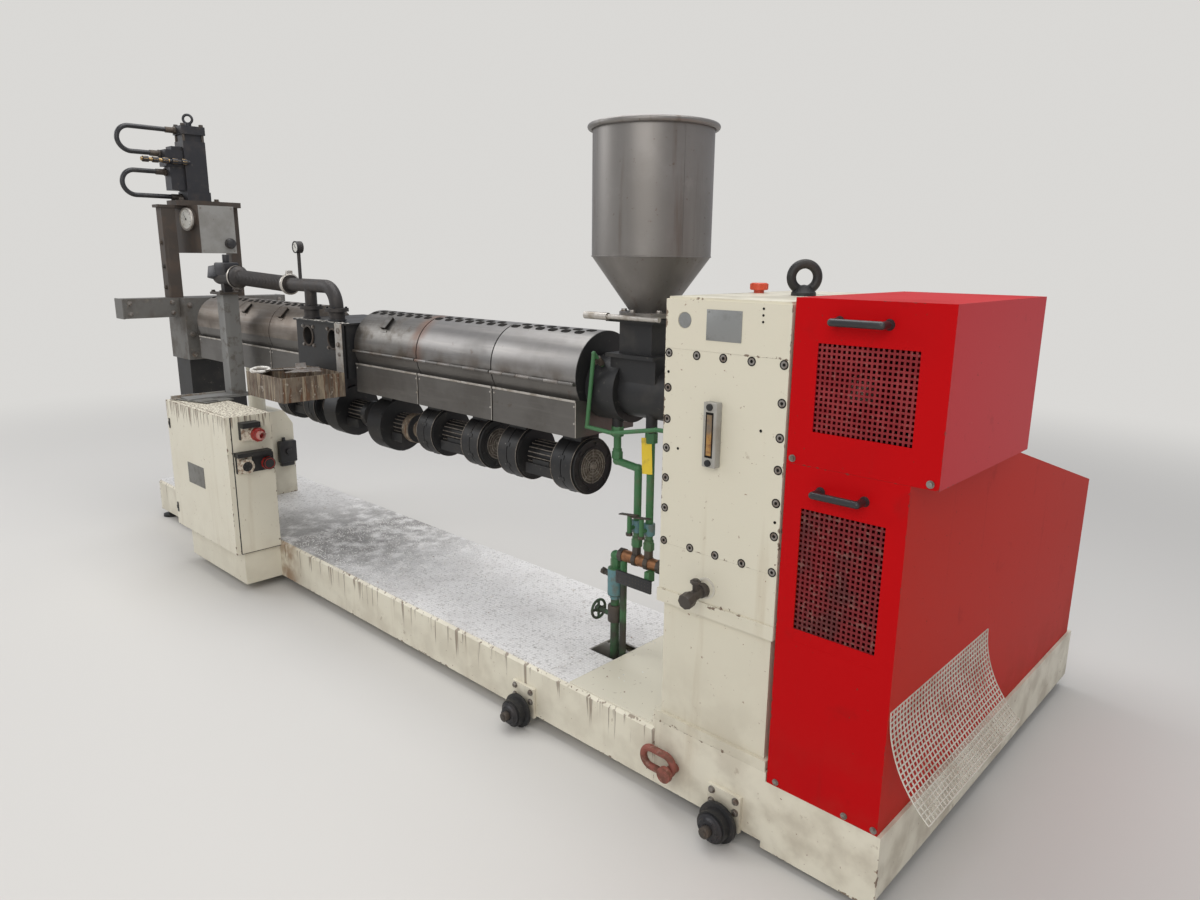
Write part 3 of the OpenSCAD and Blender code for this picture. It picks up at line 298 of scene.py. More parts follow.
def cream_layers(node):
    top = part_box(node)[1].z
    on_base = node == "base_frame"
    runs = {"Scale": 110.0, "From": top - 0.13, "To": top}
    if on_base:
        runs = {"Scale": 60.0, "From": top - 0.16, "To": top + 0.10}
    return [
        patches(3.0, 0.45, 0.75, (0.66, 0.61, 0.49), 0.55, 0.6),
        streaks(14.0, 0.58, 0.82, (0.42, 0.33, 0.21), 0.6, 0.40),
        height_fade(0.60, 0.03, DIRT, 0.75, LOW_DIRT_STRENGTH.get(node, 0.42)),
        patches(70.0, 0.67, 0.71, RUST, 0.8, 0.75),
        patches(26.0, 0.66, 0.72, (0.34, 0.27, 0.19), 0.7, 0.5),
        ("runs", runs, (0.12, 0.065, 0.04), 0.75, RUN_STRENGTH.get(node, 0.0)),
        band(RAIL_STAIN_X, 0.16, (0.25, 0.13, 0.06), 0.75, 0.8 if on_base else 0.0),
        # painted shade with some dirt on the gearbox cap's top face
        height_fade(*CAP_TOP_SHADE_AND_DIRT, (0.36, 0.33, 0.26), 0.6, 0.9),
        edges_of(node, 0.012, (0.13, 0.075, 0.045), 0.7, 0.85),
    ]


for node in CREAM_NODES:
    paint = CREAM_UPRIGHT if node.startswith("gearbox") else CREAM
    dress([node], make_finish("cream_" + node, paint, 0.42, layers=cream_layers(node), grain=(170.0, 0.0007)))


def red_finish(node, side_sheen, side_light_tint, front_sheen=0.06):
    """Red paint with little sheen on the fronts, and more on the sides, which also get a lighter painted tint
    for the light they catch.
    """
    red = make_finish("red_" + node, (0.475, 0.003, 0.005), 0.42, layers=[
        patches(2.5, 0.45, 0.75, (0.42, 0.004, 0.006), 0.5, 0.7),
        # painted light: faces turned to x take a lighter, warmer red for the light they catch
        ("sides", {}, side_light_tint, 0.5, 0.9),
        streaks(20.0, 0.62, 0.80, (0.30, 0.012, 0.010), 0.55, 0.45),
        patches(7.0, 0.60, 0.74, (0.30, 0.008, 0.008), 0.55, 0.45),
        height_fade(0.50, 0.2, (0.24, 0.045, 0.03), 0.7, 0.25),
        patches(75.0, 0.685, 0.71, (0.12, 0.04, 0.025), 0.7, 0.8),
        patches(110.0, 0.70, 0.73, (0.50, 0.22, 0.17), 0.6, 0.4),
        edges_of(node, 0.005, (0.16, 0.040, 0.030), 0.5, 0.75)], grain=(300.0, 0.0002))
    tree = red.node_tree
    sheen = calc(tree, "MULTIPLY_ADD", mask_node(tree, "sides", {}), side_sheen - front_sheen, front_sheen)
    feed(tree, tree.nodes["Principled BSDF"].inputs["Specular IOR Level"], sheen)
    return red


# the last colour is the painted light tint on each guard's sides
red_lower = red_finish("lower_guard", 0.08, (0.50, 0.019, 0.009))
dress(["lower_guard"], red_lower)
dress(["upper_guard"], red_finish("upper_guard", 0.30, (0.52, 0.010, 0.020)))


def hood_finish(name, colour, dull, layers=()):
    return make_finish(name, colour, 0.36, metal=0.8, layers=[
        patches(4.0, 0.42, 0.70, dull, 0.46, 0.7),
        brushed(60.0, 0.45, 0.70, (0.34, 0.32, 0.30), 0.34, 0.35),
        patches(22.0, 0.64, 0.72, (0.13, 0.095, 0.075), 0.55, 0.45),
        height_fade(1.265, 1.192, (0.125, 0.100, 0.080), 0.45, 0.75), *layers], grain=(260.0, 0.0003))


HEAT_STAIN = band(ORIGIN.x - 1.440, 0.075, (0.20, 0.115, 0.085), 0.55, 0.75)
PLAIN_PLATE_X = ORIGIN.x - 0.375

# Finishes of the nodes and of the added pieces
hood_bright = hood_finish("steel_hood_bright", (0.27, 0.26, 0.25), (0.20, 0.19, 0.18), [HEAT_STAIN])
hood_middle = hood_finish("steel_hood_middle", (0.215, 0.207, 0.20), (0.16, 0.152, 0.144), [HEAT_STAIN])
hood_dull = hood_finish("steel_hood_dull", (0.165, 0.157, 0.146), (0.105, 0.097, 0.085), [
    HEAT_STAIN, patches(9.0, 0.50, 0.66, (0.10, 0.08, 0.06), 0.6, 0.6)])
hood_brown = hood_finish("steel_hood_brown", (0.23, 0.20, 0.17), (0.15, 0.115, 0.09))
box_steel = make_finish("box_steel", (0.138, 0.130, 0.121), 0.40, metal=0.65, layers=[
    patches(4.0, 0.42, 0.68, (0.100, 0.092, 0.083), 0.48, 0.8),
    brushed(70.0, 0.50, 0.72, (0.17, 0.16, 0.15), 0.38, 0.35),
    patches(18.0, 0.60, 0.72, (0.10, 0.07, 0.05), 0.6, 0.6)], grain=(260.0, 0.0003))
steel_hopper = make_finish("steel_hopper", (0.225, 0.213, 0.203), 0.42, metal=0.65, layers=[
    patches(2.2, 0.42, 0.62, (0.175, 0.163, 0.152), 0.45, 0.8),
    streaks(7.0, 0.42, 0.70, (0.24, 0.225, 0.21), 0.38, 0.7),
    streaks(18.0, 0.56, 0.74, (0.12, 0.09, 0.07), 0.5, 0.7),
    patches(7.0, 0.60, 0.72, (0.34, 0.32, 0.30), 0.4, 0.45),
    patches(48.0, 0.64, 0.70, (0.12, 0.08, 0.055), 0.6, 0.7)], grain=(240.0, 0.0003))
tread_steel = make_finish("tread_steel", (0.76, 0.745, 0.73), 0.5, metal=0.1, layers=[
    ("tread", {"Scale": 230.0}, (0.90, 0.89, 0.88), 0.4, 0.75),
    patches(4.0, 0.46, 0.68, (0.58, 0.56, 0.545), 0.6, 0.5),
    patches(85.0, 0.53, 0.62, (0.42, 0.405, 0.39), 0.65, 0.7),
    patches(30.0, 0.66, 0.72, (0.16, 0.15, 0.135), 0.7, 0.7),
    band(ORIGIN.x - 2.20, 0.95, (0.20, 0.19, 0.18), 0.7, 0.80),
    patches(120.0, 0.56, 0.62, (0.70, 0.69, 0.68), 0.5, 0.35),
    ("past_x", {"Low": PLAIN_PLATE_X - 0.001, "High": PLAIN_PLATE_X}, CREAM, 0.45, 1.0),
    patches(26.0, 0.64, 0.70, (0.42, 0.37, 0.28), 0.7, 0.5),
    patches(60.0, 0.66, 0.70, RUST, 0.8, 0.8)], grain=(140.0, 0.001))
black_paint = make_finish("black_paint", (0.018, 0.018, 0.019), 0.45, specular=0.35, layers=[
    patches(9.0, 0.45, 0.72, (0.050, 0.045, 0.040), 0.65, 0.6),
    patches(55.0, 0.62, 0.70, (0.11, 0.10, 0.085), 0.7, 0.4)], grain=(260.0, 0.0003))
black_plastic = make_finish("black_plastic", (0.02, 0.02, 0.022), 0.35, layers=[
    patches(14.0, 0.5, 0.75, (0.06, 0.055, 0.05), 0.55, 0.6)], grain=(400.0, 0.0002))
dark_iron = make_finish("dark_iron", (0.026, 0.026, 0.030), 0.42, metal=0.3, layers=[
    patches(12.0, 0.45, 0.70, (0.050, 0.043, 0.040), 0.6, 0.7),
    patches(45.0, 0.62, 0.70, (0.12, 0.105, 0.09), 0.6, 0.4)], grain=(200.0, 0.0005))
oily_iron = make_finish("oily_iron", (0.070, 0.060, 0.052), 0.5, metal=0.4, layers=[
    patches(12.0, 0.42, 0.68, (0.105, 0.080, 0.060), 0.7, 0.75),
    patches(40.0, 0.6, 0.7, (0.18, 0.13, 0.09), 0.7, 0.5)], grain=(180.0, 0.0006))
post_brown = make_finish("post_brown", (0.055, 0.044, 0.036), 0.6, metal=0.2, layers=[
    patches(14.0, 0.42, 0.66, (0.085, 0.060, 0.045), 0.75, 0.75),
    streaks(30.0, 0.60, 0.72, (0.15, 0.13, 0.11), 0.6, 0.5)], grain=(180.0, 0.0006))
slide_grey = make_finish("slide_grey", (0.155, 0.150, 0.140), 0.5, metal=0.4, layers=[
    patches(9.0, 0.42, 0.66, (0.10, 0.085, 0.070), 0.7, 0.75),
    patches(40.0, 0.6, 0.7, (0.24, 0.20, 0.16), 0.7, 0.5)], grain=(180.0, 0.0006))
rusty_red = make_finish("rusty_red", (0.27, 0.085, 0.062), 0.6, metal=0.2, layers=[
    patches(26.0, 0.45, 0.60, (0.14, 0.060, 0.040), 0.8, 0.8),
    patches(60.0, 0.56, 0.66, (0.33, 0.20, 0.16), 0.7, 0.5)], grain=(180.0, 0.0006))
tray_rust = make_finish("tray_rust", (0.17, 0.135, 0.10), 0.65, metal=0.2, layers=[
    patches(9.0, 0.42, 0.60, (0.085, 0.060, 0.042), 0.75, 0.85),
    streaks(60.0, 0.50, 0.60, (0.33, 0.27, 0.19), 0.6, 0.75),
    streaks(95.0, 0.54, 0.62, (0.11, 0.045, 0.02), 0.7, 0.85),
    patches(36.0, 0.60, 0.68, (0.42, 0.38, 0.32), 0.6, 0.6)], grain=(120.0, 0.0008))
dusty_pipe = make_finish("dusty_pipe", (0.034, 0.030, 0.029), 0.55, metal=0.25, layers=[
    patches(10.0, 0.42, 0.68, (0.060, 0.050, 0.044), 0.7, 0.8),
    patches(40.0, 0.62, 0.72, (0.15, 0.13, 0.115), 0.6, 0.45)], grain=(180.0, 0.0005))
pipe_green = make_finish("pipe_green", (0.050, 0.155, 0.062), 0.42, specular=0.4, layers=[
    patches(18.0, 0.5, 0.7, (0.10, 0.12, 0.07), 0.6, 0.6),
    height_fade(0.68, 0.52, (0.034, 0.034, 0.030), 0.6, 0.9),
    height_fade(0.60, 0.42, (0.042, 0.036, 0.030), 0.6, 0.9)], grain=(260.0, 0.0003))
motor_blue = make_finish("motor_blue", (0.10, 0.16, 0.22), 0.42, layers=[
    patches(10.0, 0.45, 0.7, (0.12, 0.12, 0.11), 0.6, 0.6)], grain=(200.0, 0.0004))
dusty_white = make_finish("dusty_white", (0.60, 0.575, 0.50), 0.6, layers=[
    patches(10.0, 0.45, 0.7, (0.42, 0.37, 0.29), 0.7, 0.7)])
plug_red = make_finish("plug_red", (0.33, 0.022, 0.016), 0.45, layers=[
    patches(20.0, 0.45, 0.7, (0.20, 0.04, 0.03), 0.6, 0.6)])
bright_steel = make_finish("bright_steel", (0.50, 0.47, 0.43), 0.38, metal=0.75, layers=[
    patches(22.0, 0.45, 0.66, (0.30, 0.26, 0.21), 0.55, 0.8)])
white_residue = make_finish("white_residue", (0.66, 0.64, 0.60), 0.6, layers=[
    patches(40.0, 0.42, 0.62, (0.36, 0.33, 0.29), 0.7, 0.8)])
bolt_steel = make_finish("bolt_steel", (0.30, 0.28, 0.26), 0.4, metal=0.8, layers=[
    patches(60.0, 0.45, 0.62, (0.14, 0.09, 0.06), 0.65, 0.7)])
# Painted shade: a near-black finish put in holes, recesses and seams, under the hood straps and inside the
# motor cowl, where shade falls
painted_shade = make_finish("painted_shade", (0.012, 0.011, 0.010), 0.8, layers=[
    patches(40.0, 0.4, 0.7, (0.03, 0.026, 0.022), 0.9, 0.6)], specular=0.1)
galvanised = make_finish("galvanised", (0.42, 0.40, 0.37), 0.45, metal=0.7, layers=[
    patches(20.0, 0.45, 0.62, (0.27, 0.20, 0.14), 0.6, 0.7)], grain=(160.0, 0.0004))
brass_old = make_finish("brass_old", (0.36, 0.25, 0.12), 0.42, metal=0.85, layers=[
    patches(50.0, 0.42, 0.62, (0.16, 0.11, 0.06), 0.6, 0.8)])
copper_old = make_finish("copper_old", (0.34, 0.16, 0.075), 0.42, metal=0.8, layers=[
    patches(40.0, 0.45, 0.65, (0.15, 0.08, 0.05), 0.6, 0.7)])
grey_case = make_finish("grey_case", (0.34, 0.33, 0.30), 0.5, layers=[
    patches(8.0, 0.45, 0.7, (0.24, 0.21, 0.17), 0.65, 0.7),
    streaks(30.0, 0.6, 0.75, (0.15, 0.12, 0.10), 0.6, 0.5)], grain=(260.0, 0.0003))
plate_blank = make_finish("plate_blank", (0.27, 0.275, 0.27), 0.42, metal=0.5, layers=[
    patches(26.0, 0.45, 0.66, (0.205, 0.205, 0.195), 0.5, 0.6)])
gauge_face = make_finish("gauge_face", (0.62, 0.61, 0.57), 0.4, layers=[
    patches(40.0, 0.5, 0.7, (0.48, 0.45, 0.38), 0.5, 0.6)])
amber_oil = make_finish("amber_oil", (0.36, 0.19, 0.045), 0.2, layers=[
    patches(60.0, 0.42, 0.62, (0.17, 0.06, 0.02), 0.25, 0.8),
    height_fade(1.145, 1.165, (0.13, 0.11, 0.085), 0.2, 0.9)], coat=0.3)
breather_red = make_finish("breather_red", (0.62, 0.075, 0.03), 0.4, layers=[
    patches(60.0, 0.5, 0.7, (0.42, 0.06, 0.03), 0.5, 0.6)])
tag_yellow = make_finish("tag_yellow", (0.72, 0.52, 0.03), 0.5, layers=[
    patches(30.0, 0.5, 0.66, (0.40, 0.28, 0.05), 0.6, 0.7)])
teal_paint = make_finish("teal_paint", (0.10, 0.22, 0.24), 0.45, layers=[
    patches(30.0, 0.45, 0.62, (0.13, 0.13, 0.11), 0.6, 0.7)])
dusty_wire = make_finish("dusty_wire", (0.26, 0.23, 0.20), 0.6, metal=0.5, layers=[
    patches(60.0, 0.42, 0.62, (0.12, 0.10, 0.08), 0.7, 0.8)])
dust_brown = make_finish("dust_brown", (0.075, 0.062, 0.05), 0.85, layers=[
    patches(40.0, 0.42, 0.62, (0.16, 0.14, 0.115), 0.9, 0.8)])
plate_dull = make_finish("plate_dull", (0.185, 0.18, 0.165), 0.5, metal=0.2, layers=[
    patches(30.0, 0.45, 0.62, (0.13, 0.125, 0.11), 0.55, 0.7)])
socket_cream = make_finish("socket_cream", (0.62, 0.56, 0.46), 0.55, layers=[
    patches(60.0, 0.44, 0.60, (0.22, 0.13, 0.08), 0.7, 0.85)])
# Painted shade and dust: both screens are a far darker red than the guards, for their shaded, dusty webs
screen_red = make_finish("screen_red", (0.20, 0.012, 0.016), 0.5, specular=0.25, layers=[
    patches(16.0, 0.42, 0.62, (0.27, 0.030, 0.034), 0.6, 0.7),
    patches(90.0, 0.56, 0.66, (0.24, 0.13, 0.11), 0.7, 0.4)])
screen_dusty_shaded = make_finish("screen_dusty_shaded", (0.17, 0.012, 0.016), 0.55, specular=0.25, layers=[
    patches(9.0, 0.42, 0.58, (0.085, 0.022, 0.022), 0.7, 0.85),
    patches(60.0, 0.52, 0.66, (0.20, 0.115, 0.095), 0.75, 0.55)])
panel_grey = make_finish("panel_grey", (0.27, 0.265, 0.25), 0.5, metal=0.2, layers=[
    patches(7.0, 0.42, 0.66, (0.20, 0.19, 0.175), 0.6, 0.7),
    patches(60.0, 0.64, 0.70, (0.10, 0.08, 0.06), 0.7, 0.6)], grain=(240.0, 0.0003))
post_grey = make_finish("post_grey", (0.17, 0.168, 0.160), 0.6, layers=[
    streaks(16.0, 0.45, 0.66, (0.21, 0.21, 0.20), 0.6, 0.7),
    patches(24.0, 0.54, 0.68, (0.09, 0.075, 0.06), 0.7, 0.7)], grain=(180.0, 0.0005))
granules = make_finish("granules", (0.80, 0.79, 0.77), 0.5, layers=[
    patches(90.0, 0.42, 0.62, (0.50, 0.48, 0.45), 0.6, 0.7)])
plug_collar = make_finish("plug_collar", (0.46, 0.20, 0.17), 0.55, layers=[
    patches(40.0, 0.45, 0.62, (0.26, 0.13, 0.10), 0.6, 0.8)])

BLACK_NODES = ("levelling_feet", "wheel_front_drive", "wheel_front_mid", "wheel_rear_drive", "wheel_rear_mid",
               "feed_section", "feed_throat", "vent_block", "changer_pedestal", "blower_row", "guard_screens",
               "gearbox_fittings", "cabinet_sockets")
for mat, nodes in (
        (tread_steel, ("deck_plate",)), (hood_bright, ("hood_1",)), (hood_middle, ("hood_2",)),
        (hood_dull, ("hood_3",)), (hood_brown, ("rear_hoods",)), (bright_steel, ("slide_gate",)),
        (box_steel, ("hood_boxes", "barrel")), (steel_hopper, ("hopper_body", "hopper_cone")),
        (black_paint, BLACK_NODES), (black_plastic, ("guard_handles", "hydraulic_hoses")),
        (slide_grey, ("changer_body",)), (post_brown, ("changer_yoke",)), (rusty_red, ("lifting_shackle",)),
        (dark_iron, ("hydraulic_cylinder",)), (tray_rust, ("vent_tray",)), (dusty_pipe, ("vacuum_line",)),
        (pipe_green, ("water_pipes", "valve_handwheel")), (motor_blue, ("drive_motor",)),
        (dusty_white, ("mesh_sheet",))):
    dress(nodes, mat)


# Making pieces, from shapes whose sizes and places are in working millimetres
SAME_PLACE = 0.000005
SHARP_ANGLE = 0.6
WASHER_THICK = 2.5
HALF_ACROSS_CORNERS = 0.577
ALONG, FORWARD, UP = (1, 0, 0), (0, -1, 0), (0, 0, 1)


def piece(name, shape, mat, body="machine", smooth=SHARP_ANGLE):
    mesh = bpy.data.meshes.new(name)
    bmesh.ops.remove_doubles(shape, verts=shape.verts, dist=SAME_PLACE)
    bmesh.ops.recalc_face_normals(shape, faces=shape.faces)
    shape.to_mesh(mesh)
    shape.free()
    mesh.materials.append(mat)
    if smooth:
        mesh.polygons.foreach_set("use_smooth", [True] * len(mesh.polygons))
        mesh.set_sharp_from_angle(angle=smooth)
    obj = bpy.data.objects.new(name, mesh)
    bpy.context.scene.collection.objects.link(obj)
    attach(obj, body)
    return obj


def shapes(count):
    return [bmesh.new() for _ in range(count)]


def edges_at(verts):
    return list({edge for vert in verts for edge in vert.link_edges})


def soften(shape, edges, size, segments=2):
    bmesh.ops.bevel(shape, geom=edges, offset=size * MM, segments=segments, profile=0.5,
                    affect="EDGES", material=-1)


def turned_to(axis):
    return Vector(axis).to_track_quat("Z", "Y").to_matrix().to_4x4()


def around(count, radius, start=0.0, turn=0.0):
    """Angle and place of each of count points on a circle, the first at start steps."""
    for step in range(count):
        a = math.tau * (step + start) / count + turn
        yield a, radius * math.cos(a), radius * math.sin(a)


def corners(x, y, half_x, half_y):
    return [(x + side_x * half_x, y + side_y * half_y) for side_x in (-1, 1) for side_y in (-1, 1)]


def bar(shape, low, high, bevel=0.0, segments=2):
    a, b = at(*low), at(*high)
    made = bmesh.ops.create_cube(shape, size=1.0)["verts"]
    bmesh.ops.scale(shape, vec=b - a, verts=made)
    bmesh.ops.translate(shape, vec=(a + b) / 2, verts=made)
    if bevel:
        soften(shape, edges_at(made), bevel, segments)


def rod(shape, start, end, radius, end_radius=None, sides=24, bevel=0.0):
    a, b = at(*start), at(*end)
    place = Matrix.Translation((a + b) / 2) @ turned_to(b - a)
    made = bmesh.ops.create_cone(shape, cap_ends=True, segments=sides, radius1=radius * MM,
                                 radius2=(radius if end_radius is None else end_radius) * MM,
                                 depth=(b - a).length, matrix=place)["verts"]
    if bevel:
        soften(shape, [edge for edge in edges_at(made)
                       if any(len(face.verts) > 4 for face in edge.link_faces)], bevel)


def upright(shape, x, y, low, high, radius, **form):
    rod(shape, (x, y, low), (x, y, high), radius, **form)


def spun(shape, verts, edges, before, centre, axis, steps):
    """Spin an outline all the way round, and put what it makes on its axis."""
    bmesh.ops.spin(shape, geom=verts + edges, cent=(0, 0, 0), axis=UP, angle=math.tau,
                   steps=steps, use_merge=True)
    made = [vert for vert in shape.verts if vert not in before]
    bmesh.ops.remove_doubles(shape, verts=made, dist=SAME_PLACE)
    made = [vert for vert in shape.verts if vert not in before]
    bmesh.ops.transform(shape, matrix=Matrix.Translation(at(*centre)) @ turned_to(axis), verts=made)


def hoop(shape, centre, axis, radius, thick, steps=32, sides=8):
    before = set(shape.verts)
    tilt = Matrix.Translation((radius * MM, 0, 0)) @ Matrix.Rotation(math.pi / 2, 4, "X")
    circle = bmesh.ops.create_circle(shape, segments=sides, radius=thick * MM, matrix=tilt)["verts"]
    spun(shape, circle, edges_at(circle), before, centre, axis, steps)


def turned(shape, outline, centre, axis, steps=32):
    """outline is (radius, height) pairs, closed if its last point is its first."""
    before = set(shape.verts)
    verts = [shape.verts.new((radius * MM, 0, height * MM)) for radius, height in outline]
    edges = [shape.edges.new(pair) for pair in zip(verts, verts[1:])]
    spun(shape, verts, edges, before, centre, axis, steps)


def hex_bolts(shape, places, axis, across=18, height=9, washer=0):
    n = Vector(axis).normalized()
    for place in places:
        seat = Vector(place)
        if washer:
            rod(shape, seat, seat + n * WASHER_THICK, washer, sides=20)
        rod(shape, seat, seat + n * height, across * HALF_ACROSS_CORNERS, sides=6, bevel=0.8)


def lying(centre, along, normal):
    """Matrix whose x runs along and z along the normal."""
    x = Vector(along).normalized()
    z = Vector(normal).normalized()
    turn = Matrix((x, z.cross(x), z)).transposed().to_4x4()
    return Matrix.Translation(at(*centre)) @ turn


def slab(shape, centre, along, normal, size, bevel=0.0):
    before = set(shape.verts)
    made = bmesh.ops.create_cube(shape, size=1.0)["verts"]
    bmesh.ops.scale(shape, vec=Vector(size) * MM, verts=made)
    if bevel:
        soften(shape, edges_at(made), bevel)
        made = [vert for vert in shape.verts if vert not in before]
    bmesh.ops.transform(shape, matrix=lying(centre, along, normal), verts=made)


def cut_plate(shape, outline, centre, along, normal, thick):
    """Flat plate from an outline of (u, v) millimetres, its back on the centre plane."""
    before = set(shape.verts)
    face = shape.faces.new([shape.verts.new((u * MM, v * MM, 0)) for u, v in outline])
    grown = bmesh.ops.extrude_face_region(shape, geom=[face])["geom"]
    bmesh.ops.translate(shape, vec=(0, 0, thick * MM),
                        verts=[item for item in grown if isinstance(item, bmesh.types.BMVert)])
    made = [vert for vert in shape.verts if vert not in before]
    bmesh.ops.transform(shape, matrix=lying(centre, along, normal), verts=made)


def oval(length, width, steps=7):
    half, r = (length - width) / 2, width / 2
    turn = [math.pi * i / steps - math.pi / 2 for i in range(steps + 1)]
    right = [(half + r * math.cos(a), r * math.sin(a)) for a in turn]
    return right + [(-u, -v) for u, v in right]


# Gearbox front: counterbored screws, blank plate, sight glass and drain cock
GLASS_X, DRAIN_X, CAP_TOP_Z = 172, 158, 1500.3


def make_gearbox_screws():
    rims, heads, sockets = shapes(3)
    spots = [(x, z) for x in (13, 105, 189, 274, 366) for z in (1351, 822)]
    spots += [(x, z) for x in (13, 366) for z in (1257, 1171, 1090, 1005, 918)]
    for x, z in spots:
        turned(rims, [(12, -0.1), (12, 0.8), (9, 0.8), (9, -0.1)], (x, FRONT, z), FORWARD, 20)
        rod(heads, (x, FRONT + 0.1, z), (x, FRONT - 0.9, z), 9, sides=20)
        rod(sockets, (x, FRONT, z), (x, FRONT - 1.3, z), 4.6, sides=6)
    for x, z in ((13, 1300), (366, 955), (53, 1094), (311, 1181)):
        rod(sockets, (x, FRONT, z), (x, FRONT - 0.6, z), 4, sides=12)
    for z in (1481, 1465, 1449):
        rod(sockets, (301, FRONT + 2, z), (301, FRONT - 0.6, z), 3.2, sides=12)
    # painted shade: dark rings in the counterbores round the screw heads, dark hex sockets in the heads and
    # dark round holes
    piece("gearbox_counterbores", rims, painted_shade)
    piece("gearbox_screw_heads", heads, bolt_steel)
    piece("gearbox_screw_sockets", sockets, painted_shade)


def make_gearbox_plate():
    plate, rivets = shapes(2)
    bar(plate, (133, FRONT - 1.4, 1393), (241, FRONT + 0.2, 1472), 0.5)
    piece("gearbox_blank_plate", plate, plate_blank)
    for x in (139, 235):
        for z in (1399, 1466):
            rod(rivets, (x, FRONT - 1.2, z), (x, FRONT - 2.6, z), 2.6, 1.6, sides=12)
    rod(rivets, (62, FRONT + 1.8, 1440), (62, FRONT + 0.6, 1440), 20.5, sides=32)
    piece("gearbox_plate_rivets", rivets, plate_blank)


def make_sight_glass():
    glass_frame, window, slot_dark, screws = shapes(4)
    bar(glass_frame, (151, FRONT - 25, 1066), (193, FRONT + 0.2, 1238), 3.0, 3)
    bar(window, (164, FRONT - 26.2, 1098), (180, FRONT - 24, 1206), 1.0)
    bar(slot_dark, (160, FRONT - 25.5, 1092), (184, FRONT - 24.5, 1212))
    for z in (1078, 1226):
        rod(screws, (GLASS_X, FRONT - 24, z), (GLASS_X, FRONT - 31, z), 9, sides=20, bevel=1.2)
    frame_piece = piece("sight_glass_frame", glass_frame, grey_case)
    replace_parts(frame_piece, "gearbox_fittings")
    piece("sight_glass_tube", window, amber_oil)
    # painted shade: dark slot round the glass tube, in the frame's recess
    piece("sight_glass_slot", slot_dark, painted_shade)
    piece("sight_glass_screws", screws, black_paint)


def make_drain_cock():
    drain, ring = shapes(2)
    rod(drain, (DRAIN_X, FRONT + 0.2, 715), (DRAIN_X, FRONT - 20, 715), 20, bevel=1.5)
    rod(drain, (DRAIN_X, FRONT - 15, 715), (DRAIN_X, FRONT - 62, 708), 15, sides=20, bevel=1.5)
    rod(drain, (DRAIN_X, FRONT - 60, 708), (DRAIN_X, FRONT - 88, 703), 22, sides=8, bevel=2)
    upright(drain, DRAIN_X, FRONT - 40, 722, 757, 8, sides=16, bevel=1)
    upright(drain, DRAIN_X, FRONT - 40, 744, 753, 15, sides=6, bevel=1)
    piece("drain_cock", drain, oily_iron)
    turned(ring, [(24, 0), (24, 3), (30, 3), (30, 0)], (DRAIN_X + 8, FRONT, 722), FORWARD)
    piece("drain_cock_ring", ring, dusty_white)


def make_cap_fittings():
    eye, breather = shapes(2)
    facing = math.radians(43)
    turned(eye, [(0, 0), (34, 0), (34, 8), (27, 16), (20, 26), (0, 30)], (216, 0, CAP_TOP_Z), UP, 28)
    hoop(eye, (216, 0, 1550), (math.sin(facing), -math.cos(facing), 0), 36, 13, 40, 14)
    piece("gearbox_lifting_eye", eye, black_paint)
    outline = [(0, 0), (15, 0), (15, 8), (25, 9), (25, 26), (22, 29), (0, 29)]
    turned(breather, outline, (40, 50, CAP_TOP_Z), UP, 28)
    for _, dx, dy in around(14, 24.6):
        upright(breather, 40 + dx, 50 + dy, 1511, 1527, 2.2, sides=8)
    piece("gearbox_breather", breather, breather_red)


for make in (make_gearbox_screws, make_gearbox_plate, make_sight_glass, make_drain_cock, make_cap_fittings):
    make()

# Red guards: windows with perforated sheet, screws and handle feet
SCREEN_Y = FRONT + 2.8
SCREEN_THICK = 0.0025
WEB = 0.42
SILL_Z = 691.0


def perforated(name, x_span, z_span, columns, rows, mat):
    """Sheet with square holes, made from a grid whose hole cells are cut out."""
    shape = bmesh.new()

    def lines(low, high, count):
        pitch = (high - low) / count
        inner = [low + (i + f) * pitch for i in range(count) for f in (WEB / 2, 1 - WEB / 2)]
        return [low] + inner + [high]

    xs, zs = lines(*x_span, columns), lines(*z_span, rows)
    cells_x, cells_z = len(xs) - 1, len(zs) - 1
    grid = bmesh.ops.create_grid(shape, x_segments=cells_x, y_segments=cells_z, size=1.0)["verts"]
    holes = []
    for face in shape.faces:
        centre = face.calc_center_median()
        column = math.floor((centre.x + 1) / 2 * cells_x)
        row = math.floor((centre.y + 1) / 2 * cells_z)
        if column % 2 and row % 2:
            holes.append(face)
    for vert in grid:
        column = round((vert.co.x + 1) / 2 * cells_x)
        row = round((vert.co.y + 1) / 2 * cells_z)
        vert.co = at(xs[column], SCREEN_Y, zs[row])
    bmesh.ops.delete(shape, geom=holes, context="FACES")
    bmesh.ops.recalc_face_normals(shape, faces=shape.faces)
    bmesh.ops.solidify(shape, geom=shape.faces, thickness=SCREEN_THICK)
    return piece(name, shape, mat, smooth=None)


# the screens' dark red is partly painted shade
upper_screen = perforated("upper_window_screen", (449, 697), (1197, 1413), 20, 17, screen_red)
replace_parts(upper_screen, "guard_screens")
perforated("lower_window_screen", (433, 655), (SILL_Z, 1011), 17, 24, screen_dusty_shaded)


